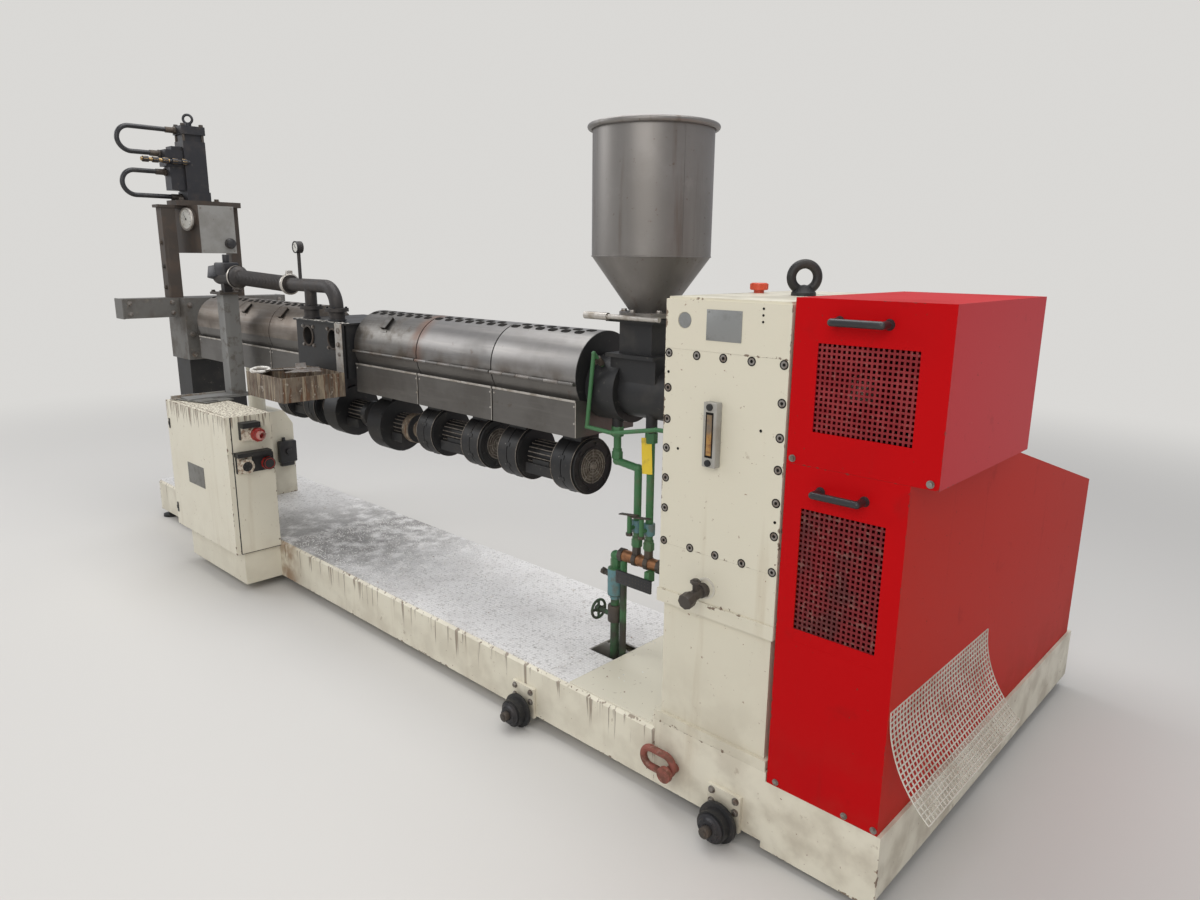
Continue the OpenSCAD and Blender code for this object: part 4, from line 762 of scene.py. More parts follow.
def make_guard_details():
    screws, seam, sill, feet = shapes(4)
    spots = ((415, 243), (612, 243), (690, 243), (404, 1128), (742, 1128))
    hex_bolts(screws, [(x, FRONT + 0.1, z) for x, z in spots], FORWARD, 11, 6, 9)
    piece("guard_screws", screws, bolt_steel)
    bar(seam, (389, FRONT + 1, 1112.6), (699, 240, 1115.6))
    piece("guard_seam_shadow", seam, painted_shade)
    bar(sill, (433.5, FRONT + 0.3, 655.5), (654.5, FRONT + 4, SILL_Z + 1))
    piece("lower_window_sill", sill, red_lower, smooth=None)
    for x, z, half in ((560, 1462, 59), (540, 1058, 56)):
        for foot_x in (x - half, x + half):
            rod(feet, (foot_x, FRONT + 0.2, z), (foot_x, FRONT - 7, z), 13, 10, sides=20)
    piece("handle_feet", feet, black_plastic)


make_guard_details()

# Plastic mesh sheet: strands along its bend and across it
SHEET_RADIUS, SHEET_BEND, STRAND = 0.320, 50.0, 0.0022
STRANDS_ACROSS, STRANDS_ALONG, BEND_STEPS = 36, 20, 12


def make_mesh_sheet():
    low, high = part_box("mesh_sheet")
    shape = bmesh.new()

    def strand(size, turn, centre):
        made = bmesh.ops.create_cube(shape, size=1.0)["verts"]
        bmesh.ops.scale(shape, vec=size, verts=made)
        bmesh.ops.rotate(shape, cent=(0, 0, 0), matrix=turn, verts=made)
        bmesh.ops.translate(shape, vec=centre, verts=made)

    def on_sheet(a, y):
        return Vector((low.x + SHEET_RADIUS * (1 - math.cos(a)) + STRAND * 0.4, y,
                       high.z - SHEET_RADIUS * math.sin(a)))

    bend = [math.radians(SHEET_BEND * j / BEND_STEPS) for j in range(BEND_STEPS + 1)]
    for i in range(STRANDS_ACROSS + 1):
        y = low.y + (high.y - low.y) * i / STRANDS_ACROSS
        points = [on_sheet(a, y) for a in bend]
        for last, point in zip(points, points[1:]):
            way = point - last
            strand((STRAND, STRAND * 1.3, way.length * 1.04), way.to_track_quat("Z", "Y").to_matrix(),
                   (last + point) / 2)
    for j in range(STRANDS_ALONG + 1):
        a = math.radians(SHEET_BEND * j / STRANDS_ALONG)
        strand((STRAND, high.y - low.y, STRAND * 1.3), Matrix.Rotation(-a, 3, "Y"),
               on_sheet(a, (low.y + high.y) / 2))
    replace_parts(piece("plastic_mesh_grid", shape, dusty_white, smooth=None), "mesh_sheet")


make_mesh_sheet()

# Barrel hoods and their boxes: each hood hinges on a ledge of its box
HOOD_R, HOOD_Z, HINGE_Z = 150.0, 1206.0, 1186.0
HOODS = (("hood_1", -960, -520), ("hood_2", -1432, -960), ("hood_3", -1906, -1432))
REAR_HOODS = ((-2720, -2380), (-3145, -2720), (-3620, -3145))
SLOT_PITCH, SLOT_SIZE = 66, (43, 25)
END_RING_X, END_RING_HOLE, END_RING_THICK = -523.0, 98, 2.2


def hood_point(x, degrees, lift=0.0):
    a = math.radians(degrees)
    return (x, -(HOOD_R + lift) * math.sin(a), HOOD_Z + (HOOD_R + lift) * math.cos(a))


def hood_normal(degrees):
    a = math.radians(degrees)
    return Vector((0, -math.sin(a), math.cos(a)))


def hood_slots(shape, x0, x1):
    for degrees, start in ((19, 26), (9, 59)):
        for x in range(x0 + start, x1 - 24, SLOT_PITCH):
            cut_plate(shape, oval(*SLOT_SIZE), hood_point(x, degrees, -0.4), ALONG, hood_normal(degrees), 0.9)


def strap(light, dark, x, degrees):
    """Bent strip on a hood, open at its right side."""
    n = hood_normal(degrees)
    slab(light, hood_point(x, degrees, 12), ALONG, n, (36, 62, 2.5))
    slab(light, hood_point(x - 17, degrees, 5), ALONG, n, (2.5, 62, 12))
    # painted shade: dark block inside the bent strip
    slab(dark, hood_point(x + 1, degrees, 5.2), ALONG, n, (32, 56, 10.5))
    slab(light, hood_point(x, degrees + 13, 0.8), ALONG, hood_normal(degrees + 13), (36, 16, 2))


def end_ring(shape, a0, a1, steps=40):
    """Flat ring sector at the end of a hood: its rim on the hood's circle, its hole on the screw axis."""
    arc = [a0 + (a1 - a0) * i / steps for i in range(steps + 1)]
    rim_r = HOOD_R - 1.5
    rim = [(rim_r * math.cos(a), HOOD_Z + rim_r * math.sin(a)) for a in arc]
    hole = [(END_RING_HOLE * math.cos(a), AXIS_Z + END_RING_HOLE * math.sin(a)) for a in arc]
    for p0, p1, q0, q1 in zip(rim, rim[1:], hole, hole[1:]):
        front, back = ([shape.verts.new(at(x, y, z)) for y, z in (p0, p1, q1, q0)]
                       for x in (END_RING_X + END_RING_THICK, END_RING_X))
        shape.faces.new(front)
        shape.faces.new(back[::-1])
        shape.faces.new((front[0], back[0], back[1], front[1]))
        shape.faces.new((front[2], back[2], back[3], front[3]))


def make_hood_slots():
    for node, x0, x1 in HOODS:
        slots = bmesh.new()
        hood_slots(slots, x0, x1)
        # painted shade: dark ovals standing for the shade inside the hoods' slots
        piece(node + "_slots", slots, painted_shade, node + "_body", smooth=None)
    slots = bmesh.new()
    for x0, x1 in REAR_HOODS:
        hood_slots(slots, x0, x1)
    piece("rear_hood_slots", slots, painted_shade, smooth=None)


def make_straps():
    for name, mat, body, places in (
            ("hood_3_strap", hood_dull, "hood_3_body", ((-1690, 45),)),
            ("rear_hood_straps", hood_brown, "machine", ((-2620, 47), (-3035, 45)))):
        light, dark = shapes(2)
        for x, degrees in places:
            strap(light, dark, x, degrees)
        piece(name, light, mat, body, smooth=None)
        # painted shade inside each strap
        piece(name + "_inside", dark, painted_shade, body, smooth=None)


def make_end_rings():
    on_hood, on_box = shapes(2)
    split_a = math.asin((HINGE_Z + 1 - HOOD_Z) / HOOD_R)
    lowest_a = math.asin((AXIS_Z - 40 - HOOD_Z) / HOOD_R)
    # painted shade: black rings over the set-back end walls, which lie in shadow
    end_ring(on_hood, split_a, math.pi - split_a)
    piece("hood_1_end_ring", on_hood, black_paint, "hood_1_body", smooth=None)
    end_ring(on_box, lowest_a, split_a, 8)
    end_ring(on_box, math.pi - split_a, math.pi - lowest_a, 8)
    piece("box_1_end_ring", on_box, black_paint, smooth=None)


def make_box_lips():
    lips, screws = shapes(2)
    for x0, x1 in [(x0, x1) for _, x0, x1 in HOODS] + list(REAR_HOODS):
        bar(lips, (x0 + 4, -149.5, 1124), (x1 - 4, -146.2, 1131.5), 0.8)
        bar(lips, (x1 - 6.5, -147.4, 1005), (x1 - 3.5, -146.2, 1124), 0.4)
        for x, z in ((x1 - 12, 1052), (x1 - 12, 1110), (x0 + 12, 1110)):
            rod(screws, (x, -146.0, z), (x, -148.2, z), 4, 3, sides=12)
    piece("box_lips", lips, bright_steel, smooth=None)
    piece("box_screws", screws, bright_steel)


for make in (make_hood_slots, make_straps, make_end_rings, make_box_lips):
    make()

# Blowers under the boxes: right face, length and axis height of each scroll, and the bare motors
BLOWERS = ((-585, 410, 870), (-1103, 424, 870), (-2390, 400, 860))
BARE_MOTORS = ((-1771, -1690, 850), (-2152, -2040, 864))


def blower_face(rims, wires, x, z):
    """Rim, bolts and wire guard on the end of a scroll."""
    turned(rims, [(98, 0), (98, 4), (93, 4), (93, 0)], (x, 0, z), ALONG, 40)
    turned(rims, [(70, 0), (70, 5), (64, 5), (64, 0)], (x, 0, z), ALONG, 36)
    hex_bolts(rims, [(x, dy, z + dz) for _, dy, dz in around(6, 84, turn=0.3)], ALONG, 10, 5)
    for radius in (16, 27, 38, 49, 60):
        hoop(wires, (x + 4, 0, z), ALONG, radius, 1.6, 28, 5)
    for _, dy, dz in around(8, 64):
        rod(wires, (x + 3, 0, z), (x + 3, dy, z + dz), 1.6, sides=6)
    rod(wires, (x, 0, z), (x + 8, 0, z), 12, 9, sides=20)


def lugs(shape, x, z, radius, count, size):
    for a, dy, dz in around(count, radius, 0.5):
        slab(shape, (x, dy, z + dz), ALONG, (0, math.cos(a), math.sin(a)), size, 1)


def make_blowers():
    rims, wires, dust, blocks, screws, cowl = shapes(6)
    for x1, length, z in BLOWERS:
        blower_face(rims, wires, x1, z)
        rod(dust, (x1 - 0.5, 0, z), (x1 + 0.8, 0, z), 62, sides=36)
        for x in (x1 - length, x1 - 118):
            lugs(blocks, x + 59, z, 101, 8, (24, 16, 8))
            for _, dy, dz in around(8, 101, 0.5):
                rod(screws, (x + 45, dy, z + dz), (x + 49, dy, z + dz), 4, sides=8)
        slab(blocks, (x1 - length / 2, -56, z - 30), ALONG, FORWARD, (90, 52, 14), 2)
    for x0, _, z in BARE_MOTORS:
        lugs(blocks, x0 - 14, z, 119, 6, (14, 16, 6))
    piece("blower_face_rims", rims, black_paint)
    piece("blower_wire_guards", wires, dusty_wire)
    piece("blower_dust", dust, dust_brown)
    piece("blower_lugs", blocks, black_paint, smooth=None)
    piece("blower_lug_screws", screws, bolt_steel)
    outline = [(64, 0), (66, 4), (66, 40), (58, 50), (22, 54), (22, 50), (0, 50), (0, 0), (64, 0)]
    _, cowl_x, cowl_z = BARE_MOTORS[0]
    turned(cowl, outline, (cowl_x - 2, 0, cowl_z), ALONG, 36)
    piece("blower_3_cowl", cowl, tray_rust)


def make_motor_ribs():
    rims, fins = shapes(2)
    spans = []
    for x1, length, z in BLOWERS:
        for x in (x1 - 59, x1 - length + 59):
            for dx in (-53, 50):
                outline = [(103.3, 0), (104.2, 0.6), (104.2, 2.4), (103.3, 3)]
                turned(rims, outline, (x + dx, 0, z), ALONG, 48)
        spans.append((x1 - length + 126, x1 - 126, z))
    for x0, x1, z in spans + list(BARE_MOTORS):
        for a, dy, dz in around(20, 55.6):
            slab(fins, ((x0 + x1) / 2, dy, z + dz), ALONG, (0, math.cos(a), math.sin(a)), (x1 - x0, 3.4, 1.6))
    piece("scroll_rims", rims, dusty_wire)
    piece("motor_fin_edges", fins, dusty_wire, smooth=None)


make_blowers()
make_motor_ribs()

# Vented zone: ports, upright, residue and scraps in the tray
PORT_XS, PORT_Y, PORT_Z = (-2259, -2034), -175, 1228
UPRIGHT_X, UPRIGHT_Y = -1948, -200
RESIDUE_SEED, RESIDUE_ON_TOP, RESIDUE_IN_TRAY = 5, 90, 60


def make_vent_ports():
    rims, upright, bolts = shapes(3)
    for x in PORT_XS:
        turned(rims, [(46, 0), (50, 3), (46, 6), (41, 6), (41, 0)], (x, PORT_Y, PORT_Z), FORWARD, 36)
        places = [(x + 66 * math.cos(a), PORT_Y, PORT_Z + 60 * math.sin(a)) for a in (0.8, 2.35, 3.93, 5.5)]
        hex_bolts(bolts, places, FORWARD, 12, 7, 9)
    piece("vent_port_rims", rims, post_brown)
    bar(upright, (-1977, UPRIGHT_Y, 1001), (-1919, UPRIGHT_Y + 3.5, 1303), 1.0)
    piece("vent_upright_face", upright, galvanised, smooth=None)
    for z, radius in ((1272, 13), (1168, 10), (1034, 8)):
        outline = [(radius, 0), (radius, 3), (radius * 0.55, 3), (radius * 0.55, 0)]
        turned(bolts, outline, (UPRIGHT_X, UPRIGHT_Y, z), FORWARD, 20)
    hex_bolts(bolts, [(UPRIGHT_X, UPRIGHT_Y, 1210)], FORWARD, 17, 9, 13)
    piece("vent_bolts", bolts, bolt_steel)


def make_residue():
    flakes, scraps, ring = shapes(3)
    rng = random.Random(RESIDUE_SEED)
    for _ in range(RESIDUE_ON_TOP):
        x = rng.uniform(-2372, -1915)
        y = -186 + abs(rng.gauss(0, 16))
        size = rng.uniform(5, 16)
        slab(flakes, (x, min(y, 150), 1304.6), (math.cos(x), math.sin(x), 0), UP,
             (size * 1.6, size * 0.8, 1.4))
    for _ in range(RESIDUE_IN_TRAY):
        x = rng.uniform(-2240, -1925)
        y = rng.uniform(-478, -210)
        size = rng.uniform(8, 24)
        lean = (rng.uniform(-0.3, 0.3), 0.1, 1)
        slab(flakes, (x, y, 990 + size * 0.18), (math.cos(y), math.sin(y), 0), lean, (size * 1.5, size, 3))
    piece("vent_residue", flakes, white_residue, smooth=None)
    slab(scraps, (-2150, -400, 1096), (1, 0.25, 0.10), (-0.1, 0.1, 1), (210, 96, 4), 1)
    slab(scraps, (-2040, -330, 1102), (0.4, 1, 0.0), (0.12, 0.0, 1), (150, 80, 4), 1)
    slab(scraps, (-2110, -300, 1108), (1, -0.5, -0.05), (0.05, -0.1, 1), (130, 46, 12), 2)
    piece("tray_scraps", scraps, bolt_steel, smooth=None)
    hoop(ring, (-2190, -450, 1099), (0.1, -0.1, 1), 38, 7, 30, 8)
    piece("tray_ring", ring, white_residue)


make_vent_ports()
make_residue()

# Vacuum line: ribbed hose, clamps, valve, flanges and gauge
LINE_Y = -150
FLANGE_XS = (-2034, -2262)
HOSE_START, HOSE_END = Vector((-2490, LINE_Y, 1457)), Vector((-2870, -216, 1481))
HOSE_RIBS = 34
VALVE_X, VALVE_Y = -2960, -232
GAUGE_X, GAUGE_Z = -2350, 1629


def make_vacuum_hose():
    ribs, clamps, valve = shapes(3)
    for i in range(HOSE_RIBS):
        hoop(ribs, HOSE_START.lerp(HOSE_END, (i + 0.4) / HOSE_RIBS), HOSE_END - HOSE_START, 34.5, 4.2, 28, 6)
    piece("vacuum_hose_ribs", ribs, dusty_pipe)
    outline = [(44, 0), (50, 3), (50, 15), (44, 18), (31, 18), (31, 0)]
    turned(clamps, outline, (-2448, LINE_Y, 1457), (-1, 0, 0), 36)
    slab(clamps, (-2459, LINE_Y, 1504), ALONG, UP, (16, 30, 34), 2)
    turned(clamps, [(58, 0), (58, 10), (40, 10), (40, 0)], (-2868, -216, 1481), (-1, -0.1, 0), 36)
    piece("vacuum_clamps", clamps, bright_steel)
    slab(valve, (VALVE_X, VALVE_Y, 1520), (1, 0.15, 0), UP, (96, 84, 64), 8)
    upright(valve, VALVE_X, VALVE_Y, 1540, 1592, 17, sides=20, bevel=2)
    slab(valve, (VALVE_X - 48, VALVE_Y - 30, 1508), (1, 0.5, 0.2), (0, -1, 0.3), (90, 70, 30), 5)
    piece("vacuum_valve_body", valve, dark_iron)


def make_vacuum_fittings():
    flanges, face, needle = shapes(3)
    for x in FLANGE_XS:
        places = [(x + dx, LINE_Y + dy, 1364.3) for _, dx, dy in around(4, 42, 0.5)]
        hex_bolts(flanges, places, UP, 10, 7)
        turned(flanges, [(34.6, 0), (40, 2), (40, 9), (34.6, 9)], (x, LINE_Y, 1306), UP, 28)
    piece("vacuum_flange_bolts", flanges, dark_iron)
    turned(face, [(0, 0), (23, 0), (23, 1), (0, 1)], (GAUGE_X, -164, GAUGE_Z), FORWARD, 28)
    piece("vacuum_gauge_face", face, gauge_face)
    slab(needle, (GAUGE_X - 3, -165.5, GAUGE_Z + 4), (1, 0, -1.1), FORWARD, (26, 2, 1))
    turned(needle, [(23, 0), (27.6, 0), (27.6, 4), (23, 4)], (GAUGE_X, -163, GAUGE_Z), FORWARD, 28)
    piece("vacuum_gauge_needle", needle, black_plastic)


make_vacuum_hose()
make_vacuum_fittings()

# Cabinet: door plate and locks, things on its roof, sockets on its side
SIDE_X, DOOR_Y = -2382.7, -548.3
OUTLET_Y, OUTLET_Z = -420, 780
ROUND_Y, ROUND_Z = -480, 636
PLUG_Y, PLUG_Z = -372, 632
OUTLET, ROUND_SOCKET, PLUG = ((SIDE_X, y, z) for y, z in (
    (OUTLET_Y, OUTLET_Z), (ROUND_Y, ROUND_Z), (PLUG_Y, PLUG_Z)))


def make_cabinet_door_details():
    plate, locks, seal = shapes(3)
    bar(plate, (-2877, DOOR_Y - 1.4, 473), (-2681, DOOR_Y + 0.4, 578), 0.5)
    piece("cabinet_blank_plate", plate, plate_dull, "cabinet_door_body")
    for x, z in ((-3064, 748), (-3070, 300)):
        bar(locks, (x - 7, DOOR_Y - 4, z - 26), (x + 7, DOOR_Y + 0.4, z + 26), 2)
        bar(locks, (x - 3, DOOR_Y - 7, z - 8), (x + 3, DOOR_Y - 3, z + 10), 1)
    piece("cabinet_locks", locks, black_plastic, "cabinet_door_body")
    bar(seal, (SIDE_X - 3, -526, 208), (SIDE_X + 0.3, -521.4, 864))
    bar(seal, (SIDE_X - 3, -524, 203.6), (SIDE_X + 0.3, -331, 206.2))
    piece("cabinet_seal", seal, black_plastic, smooth=None)


def make_roof_scrap():
    sheets, strip = shapes(2)
    slab(sheets, (-2955, -410, 869.5), (1, 0.28, 0), (0.0, 0.02, 1), (250, 165, 3), 0.5)
    slab(sheets, (-2905, -430, 874), (1, 0.1, 0), (0.03, 0.0, 1), (120, 90, 3), 0.5)
    piece("cabinet_top_scrap", sheets, plate_dull, smooth=None)
    slab(strip, (-3036, -404, 871), (0.06, 1, 0), UP, (268, 26, 6), 1)
    slab(strip, (-3036, -404, 880), (0.06, 1, 0), UP, (268, 4, 18), 1)
    piece("cabinet_top_strip", strip, galvanised, smooth=None)


def make_sockets():
    shells, dark, red, pink = shapes(4)
    bar(shells, (SIDE_X, -489, 752), (SIDE_X + 25.5, -405, 816), 2)
    turned(shells, [(28, 12), (37, 16), (37, 34), (28, 36)], OUTLET, ALONG, 28)
    turned(red, [(0, 30), (30, 30), (31, 36), (31, 60), (26, 68), (16, 72), (0, 72)], OUTLET, ALONG, 28)
    for _, dy, dz in around(10, 30):
        bar(red, (SIDE_X + 40, OUTLET_Y + dy - 2.5, OUTLET_Z + dz - 2.5),
            (SIDE_X + 60, OUTLET_Y + dy + 2.5, OUTLET_Z + dz + 2.5))
    turned(pink, [(16, 70), (21, 70), (21, 82), (13, 92), (13, 70)], OUTLET, ALONG, 24)
    bar(shells, (SIDE_X, -516, 599), (SIDE_X + 19, -446, 683), 2)
    turned(shells, [(27, 17), (34, 19), (34, 44), (27, 46), (23, 46), (23, 17)], ROUND_SOCKET, ALONG)
    rod(dark, (SIDE_X + 20, ROUND_Y, ROUND_Z), (SIDE_X + 43, ROUND_Y, ROUND_Z), 23, sides=28)
    for _, dy, dz in around(5, 14, turn=0.4):
        y, z = ROUND_Y + dy, ROUND_Z + dz
        rod(dark, (SIDE_X + 43, y, z), (SIDE_X + 45, y, z), 3.4, sides=10)
    turned(red, [(29.5, 4), (33, 8), (31, 30), (26, 41), (17, 38), (17, 4), (29.5, 4)], PLUG, ALONG, 9)
    rod(dark, (SIDE_X + 20, PLUG_Y, PLUG_Z), (SIDE_X + 40.6, PLUG_Y, PLUG_Z), 18, sides=20)
    piece("socket_shells", shells, socket_cream)
    piece("socket_insides", dark, black_plastic)
    piece("red_plug", red, plug_red)
    piece("red_plug_collar", pink, plug_collar)


def make_switch_box():
    case = bmesh.new()
    bar(case, (-3150.4, 44, 420), (-3112, 147, 545), 7)
    bar(case, (-3150.4, 54, 398), (-3120, 132, 424), 4)
    rod(case, (-3116, 96, 486), (-3098, 96, 486), 22, 17, sides=20)
    rod(case, (-3132, 78, 540), (-3132, 78, 566), 12, 9, sides=14)
    piece("column_switch_box", case, black_plastic)


for make in (make_cabinet_door_details, make_roof_scrap, make_sockets, make_switch_box):
    make()

# Wheels, deck and rail
WHEELS = (("wheel_front_drive", -1), ("wheel_front_mid", -1), ("wheel_rear_drive", 1), ("wheel_rear_mid", 1))
GRANULE_SEED, GRANULE_COUNT = 11, 2600
PIPE_X, PIPE_Y = -430, -40


def make_wheel_hubs():
    axles = bmesh.new()
    outline = [(17.5, -14), (41, -14), (41, -9), (34, -6), (31, 1), (24, 3), (17.5, 3), (17.5, -14)]
    for node, out in WHEELS:
        low, high = (from_origin(corner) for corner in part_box(node))
        middle = (low + high) / 2
        x, z = middle.x, middle.z
        face = low.y if out < 0 else high.y
        hub, bolts = shapes(2)
        turned(hub, outline, (x, face, z), (0, out, 0))
        places = [(x + dx, face - out * 1.5, z + dz) for _, dx, dz in around(6, 28)]
        hex_bolts(bolts, places, (0, out, 0), 7, 5)
        rod(axles, (x, face - out, z), (x, face + out * 21.5, z), 16.4, bevel=2)
        hex_bolts(axles, [(x, face + out * 21, z)], (0, out, 0), 17, 3)
        piece(node + "_hub", hub, dark_iron, node + "_body")
        piece(node + "_hub_bolts", bolts, dark_iron, node + "_body")
    piece("axle_ends", axles, oily_iron)


def make_granules():
    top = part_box("deck_plate")[1].z / MM
    rng = random.Random(GRANULE_SEED)
    grains = bmesh.new()
    count = 0
    while count < GRANULE_COUNT:
        x = -2360 + abs(rng.gauss(0, 780))
        y = rng.uniform(-318, 318)
        over_hole = abs(x - PIPE_X) < 75 and abs(y - PIPE_Y) < 75
        if x > -120 or over_hole:
            continue
        count += 1
        size = rng.uniform(2.4, 5.2)
        turn = rng.uniform(0, math.tau)
        peak = grains.verts.new(at(x, y, top + size * 0.8))
        spots = [(size * math.cos(turn + a), size * 0.75 * math.sin(turn + a)) for a in (0, 1.6, 3.1, 4.7)]
        foot = [grains.verts.new(at(x + dx, y + dy, top - 0.5)) for dx, dy in spots]
        for first, second in zip(foot, foot[1:] + foot[:1]):
            grains.faces.new((peak, first, second))
        grains.faces.new(foot[::-1])
    piece("loose_granules", grains, granules, smooth=None)


def make_axle_bolts():
    bolts = bmesh.new()
    places = [(axle_x + dx, -342.2, z) for axle_x in (262, -584) for dx in (-40, 40) for z in (98, 133)]
    hex_bolts(bolts, places, FORWARD, 15, 8, 11)
    piece("axle_bolts", bolts, bolt_steel)


make_wheel_hubs()
make_granules()
make_axle_bolts()

# Water pipes: unions, manifold, cocks, filter, blank plate and tag
BRANCH_XS = (-335, -282)
MANIFOLD_Z = 595


def make_pipe_unions():
    nuts = bmesh.new()
    for x, z in ((-335, 655), (-282, 655), (PIPE_X, 945), (PIPE_X, 560)):
        upright(nuts, x, PIPE_Y, z - 13, z + 13, 19, sides=6, bevel=1.5)
        upright(nuts, x, PIPE_Y, z + 12, z + 22, 16, sides=20)
    for x in (PIPE_X, -282):
        upright(nuts, x, PIPE_Y, 1010, 1046, 21, sides=6, bevel=1.5)
    piece("pipe_unions", nuts, pipe_green)


def make_manifold():
    copper, filter_body, steel, plate, tag = shapes(5)
    rod(copper, (-405, PIPE_Y, MANIFOLD_Z), (-219, PIPE_Y, MANIFOLD_Z), 20.8, sides=28)
    piece("water_manifold", copper, copper_old)
    for x in (-398, *BRANCH_XS, -228):
        rod(steel, (x - 9, PIPE_Y, MANIFOLD_Z), (x + 9, PIPE_Y, MANIFOLD_Z), 25, sides=8, bevel=1.5)
    for x in BRANCH_XS:
        upright(steel, x, PIPE_Y, 612, 650, 15, sides=8, bevel=1)
        slab(steel, (x, PIPE_Y - 44, 764), (1, 0, 0.12), UP, (78, 17, 4), 1)
        upright(steel, x, PIPE_Y - 40, 690, 700, 12, sides=6)
        upright(filter_body, x, PIPE_Y, 694, 736, 20, sides=28, bevel=3)
    upright(filter_body, PIPE_X, PIPE_Y, 441, 538, 28, sides=28, bevel=3)
    upright(filter_body, PIPE_X, PIPE_Y, 424, 442, 20, sides=6, bevel=1)
    piece("water_filter", filter_body, teal_paint)
    upright(steel, PIPE_X, PIPE_Y, 339, 401, 26, sides=28, bevel=3)
    rod(steel, (-452, PIPE_Y, 505), (-482, PIPE_Y, 512), 9, sides=12)
    rod(steel, (-480, PIPE_Y, 511), (-492, PIPE_Y, 514), 13, sides=6)
    rod(steel, (-466, -82, 1254), (-466, -104, 1276), 11, sides=8, bevel=1)
    rod(steel, (-466, -98, 1270), (-466, -120, 1262), 10, sides=6)
    for x, z in [(-378 + column * 13.6, 520 + row * 12) for row in range(3) for column in range(11)]:
        rod(steel, (x, -87.2, z), (x, -88.6, z), 1.8, sides=8)
    piece("pipe_fittings", steel, oily_iron)
    bar(plate, (-387, -87.6, 510), (-232, -79.4, 556), 1)
    piece("manifold_plate", plate, black_plastic)
    slab(tag, (-286, -56, 968), (1, 0.1, 0.08), (0.1, -1, 0.04), (40, 120, 1.2))
    rod(tag, (-284, -44, 1028), (-284, -56, 1024), 2, sides=6)
    piece("blank_tag", tag, tag_yellow, smooth=None)


make_pipe_unions()
make_manifold()

# Screen changer, its gauge and valves, and the post of the vacuum line
CHANGER_X = -3860
GAUGE_NORMAL = Vector((0.176, -0.984, 0)).normalized()
GAUGE_ACROSS = Vector((0.984, 0.176, 0))
GAUGE_FRONT = Vector((-3777, -72, 1788)) + GAUGE_NORMAL * 25
BRASS_X, BRASS_Z = -3791, 2106.3
HOSE_X = -3880


def make_junction_box():
    panel, screws, gland = shapes(3)
    bar(panel, (-3691.2, -57, 1597.5), (-3688.6, 147, 1866), 0.6)
    bar(panel, (-3812, -57.6, 1600), (-3690, -55.2, 1602), 0.3)
    piece("junction_box_cover", panel, panel_grey, smooth=None)
    for y in (-44, 134):
        for z in (1611, 1852):
            rod(screws, (-3689, y, z), (-3686.4, y, z), 5, 3.5, sides=12)
    piece("junction_box_screws", screws, bolt_steel)
    outline = [(0, 0), (31, 0), (31, 12), (25, 18), (25, 30), (12, 34), (0, 34)]
    turned(gland, outline, (-3691, 110, 1654), ALONG, 24)
    piece("junction_box_gland", gland, black_plastic)


def make_pressure_gauge():
    bezel, face, marks = shapes(3)

    def on_face(u, v, lift):
        return GAUGE_FRONT + GAUGE_NORMAL * lift + GAUGE_ACROSS * u + Vector((0, 0, v))

    def mark(spot, u, v, size):
        slab(marks, spot, GAUGE_ACROSS * u + Vector((0, 0, v)), GAUGE_NORMAL, size)

    outline = [(54, 0), (54, 4), (60, 6), (64, 2), (64, -8), (54, -8), (54, 0)]
    turned(bezel, outline, GAUGE_FRONT, GAUGE_NORMAL, 40)
    turned(face, [(0, 1.2), (54.5, 1.2), (54.5, -0.5), (0, -0.5)], GAUGE_FRONT, GAUGE_NORMAL, 36)
    for step in range(11):
        a = math.radians(225 - 27 * step)
        u, v = math.cos(a), math.sin(a)
        mark(on_face(44 * u, 44 * v, 1.4), u, v, (9, 1.6, 0.6))
    mark(on_face(-8, 12, 2.2), -0.55, 0.83, (46, 2.4, 0.8))
    rod(marks, on_face(0, 0, 1), on_face(0, 0, 3.4), 5, sides=16)
    piece("pressure_gauge_bezel", bezel, bright_steel)
    piece("pressure_gauge_face", face, gauge_face)
    piece("pressure_gauge_marks", marks, black_plastic, smooth=None)


def make_valve_row():
    brass, nuts = shapes(2)
    outline = [(10, 0), (15, 0), (16.6, 3), (16.6, 27), (15, 30), (10, 30)]
    for i in range(5):
        turned(brass, outline, (BRASS_X, -262 + i * 52, BRASS_Z), FORWARD, 6)
    rod(brass, (BRASS_X, -300.4, BRASS_Z), (BRASS_X, -150, BRASS_Z), 10.6, sides=20)
    piece("brass_valve_row", brass, brass_old)
    for y, z in ((-66, 2285), (-162, 2150), (-140, 2050), (-67, 1915)):
        rod(nuts, (HOSE_X, y, z), (HOSE_X, y - 14, z), 21, sides=6, bevel=1)
        rod(nuts, (HOSE_X, y - 12, z), (HOSE_X, y - 58, z), 16.5, sides=18, bevel=1)
    for x, y in corners(CHANGER_X, 0, 51, 51):
        upright(nuts, x, y, 2308, 2319, 13, sides=6, bevel=1)
    for x, y in corners(CHANGER_X, 0, 53, 53):
        upright(nuts, x, y, 2226, 2262, 8, sides=12)
    hex_bolts(nuts, [(x, y, 1895) for x, y in corners(CHANGER_X, 0, 58, 100)], UP, 24, 14, 17)
    hex_bolts(nuts, [(CHANGER_X, -212, z) for z in (1655, 1520, 1400)], FORWARD, 19, 11, 15)
    piece("changer_nuts", nuts, oily_iron)


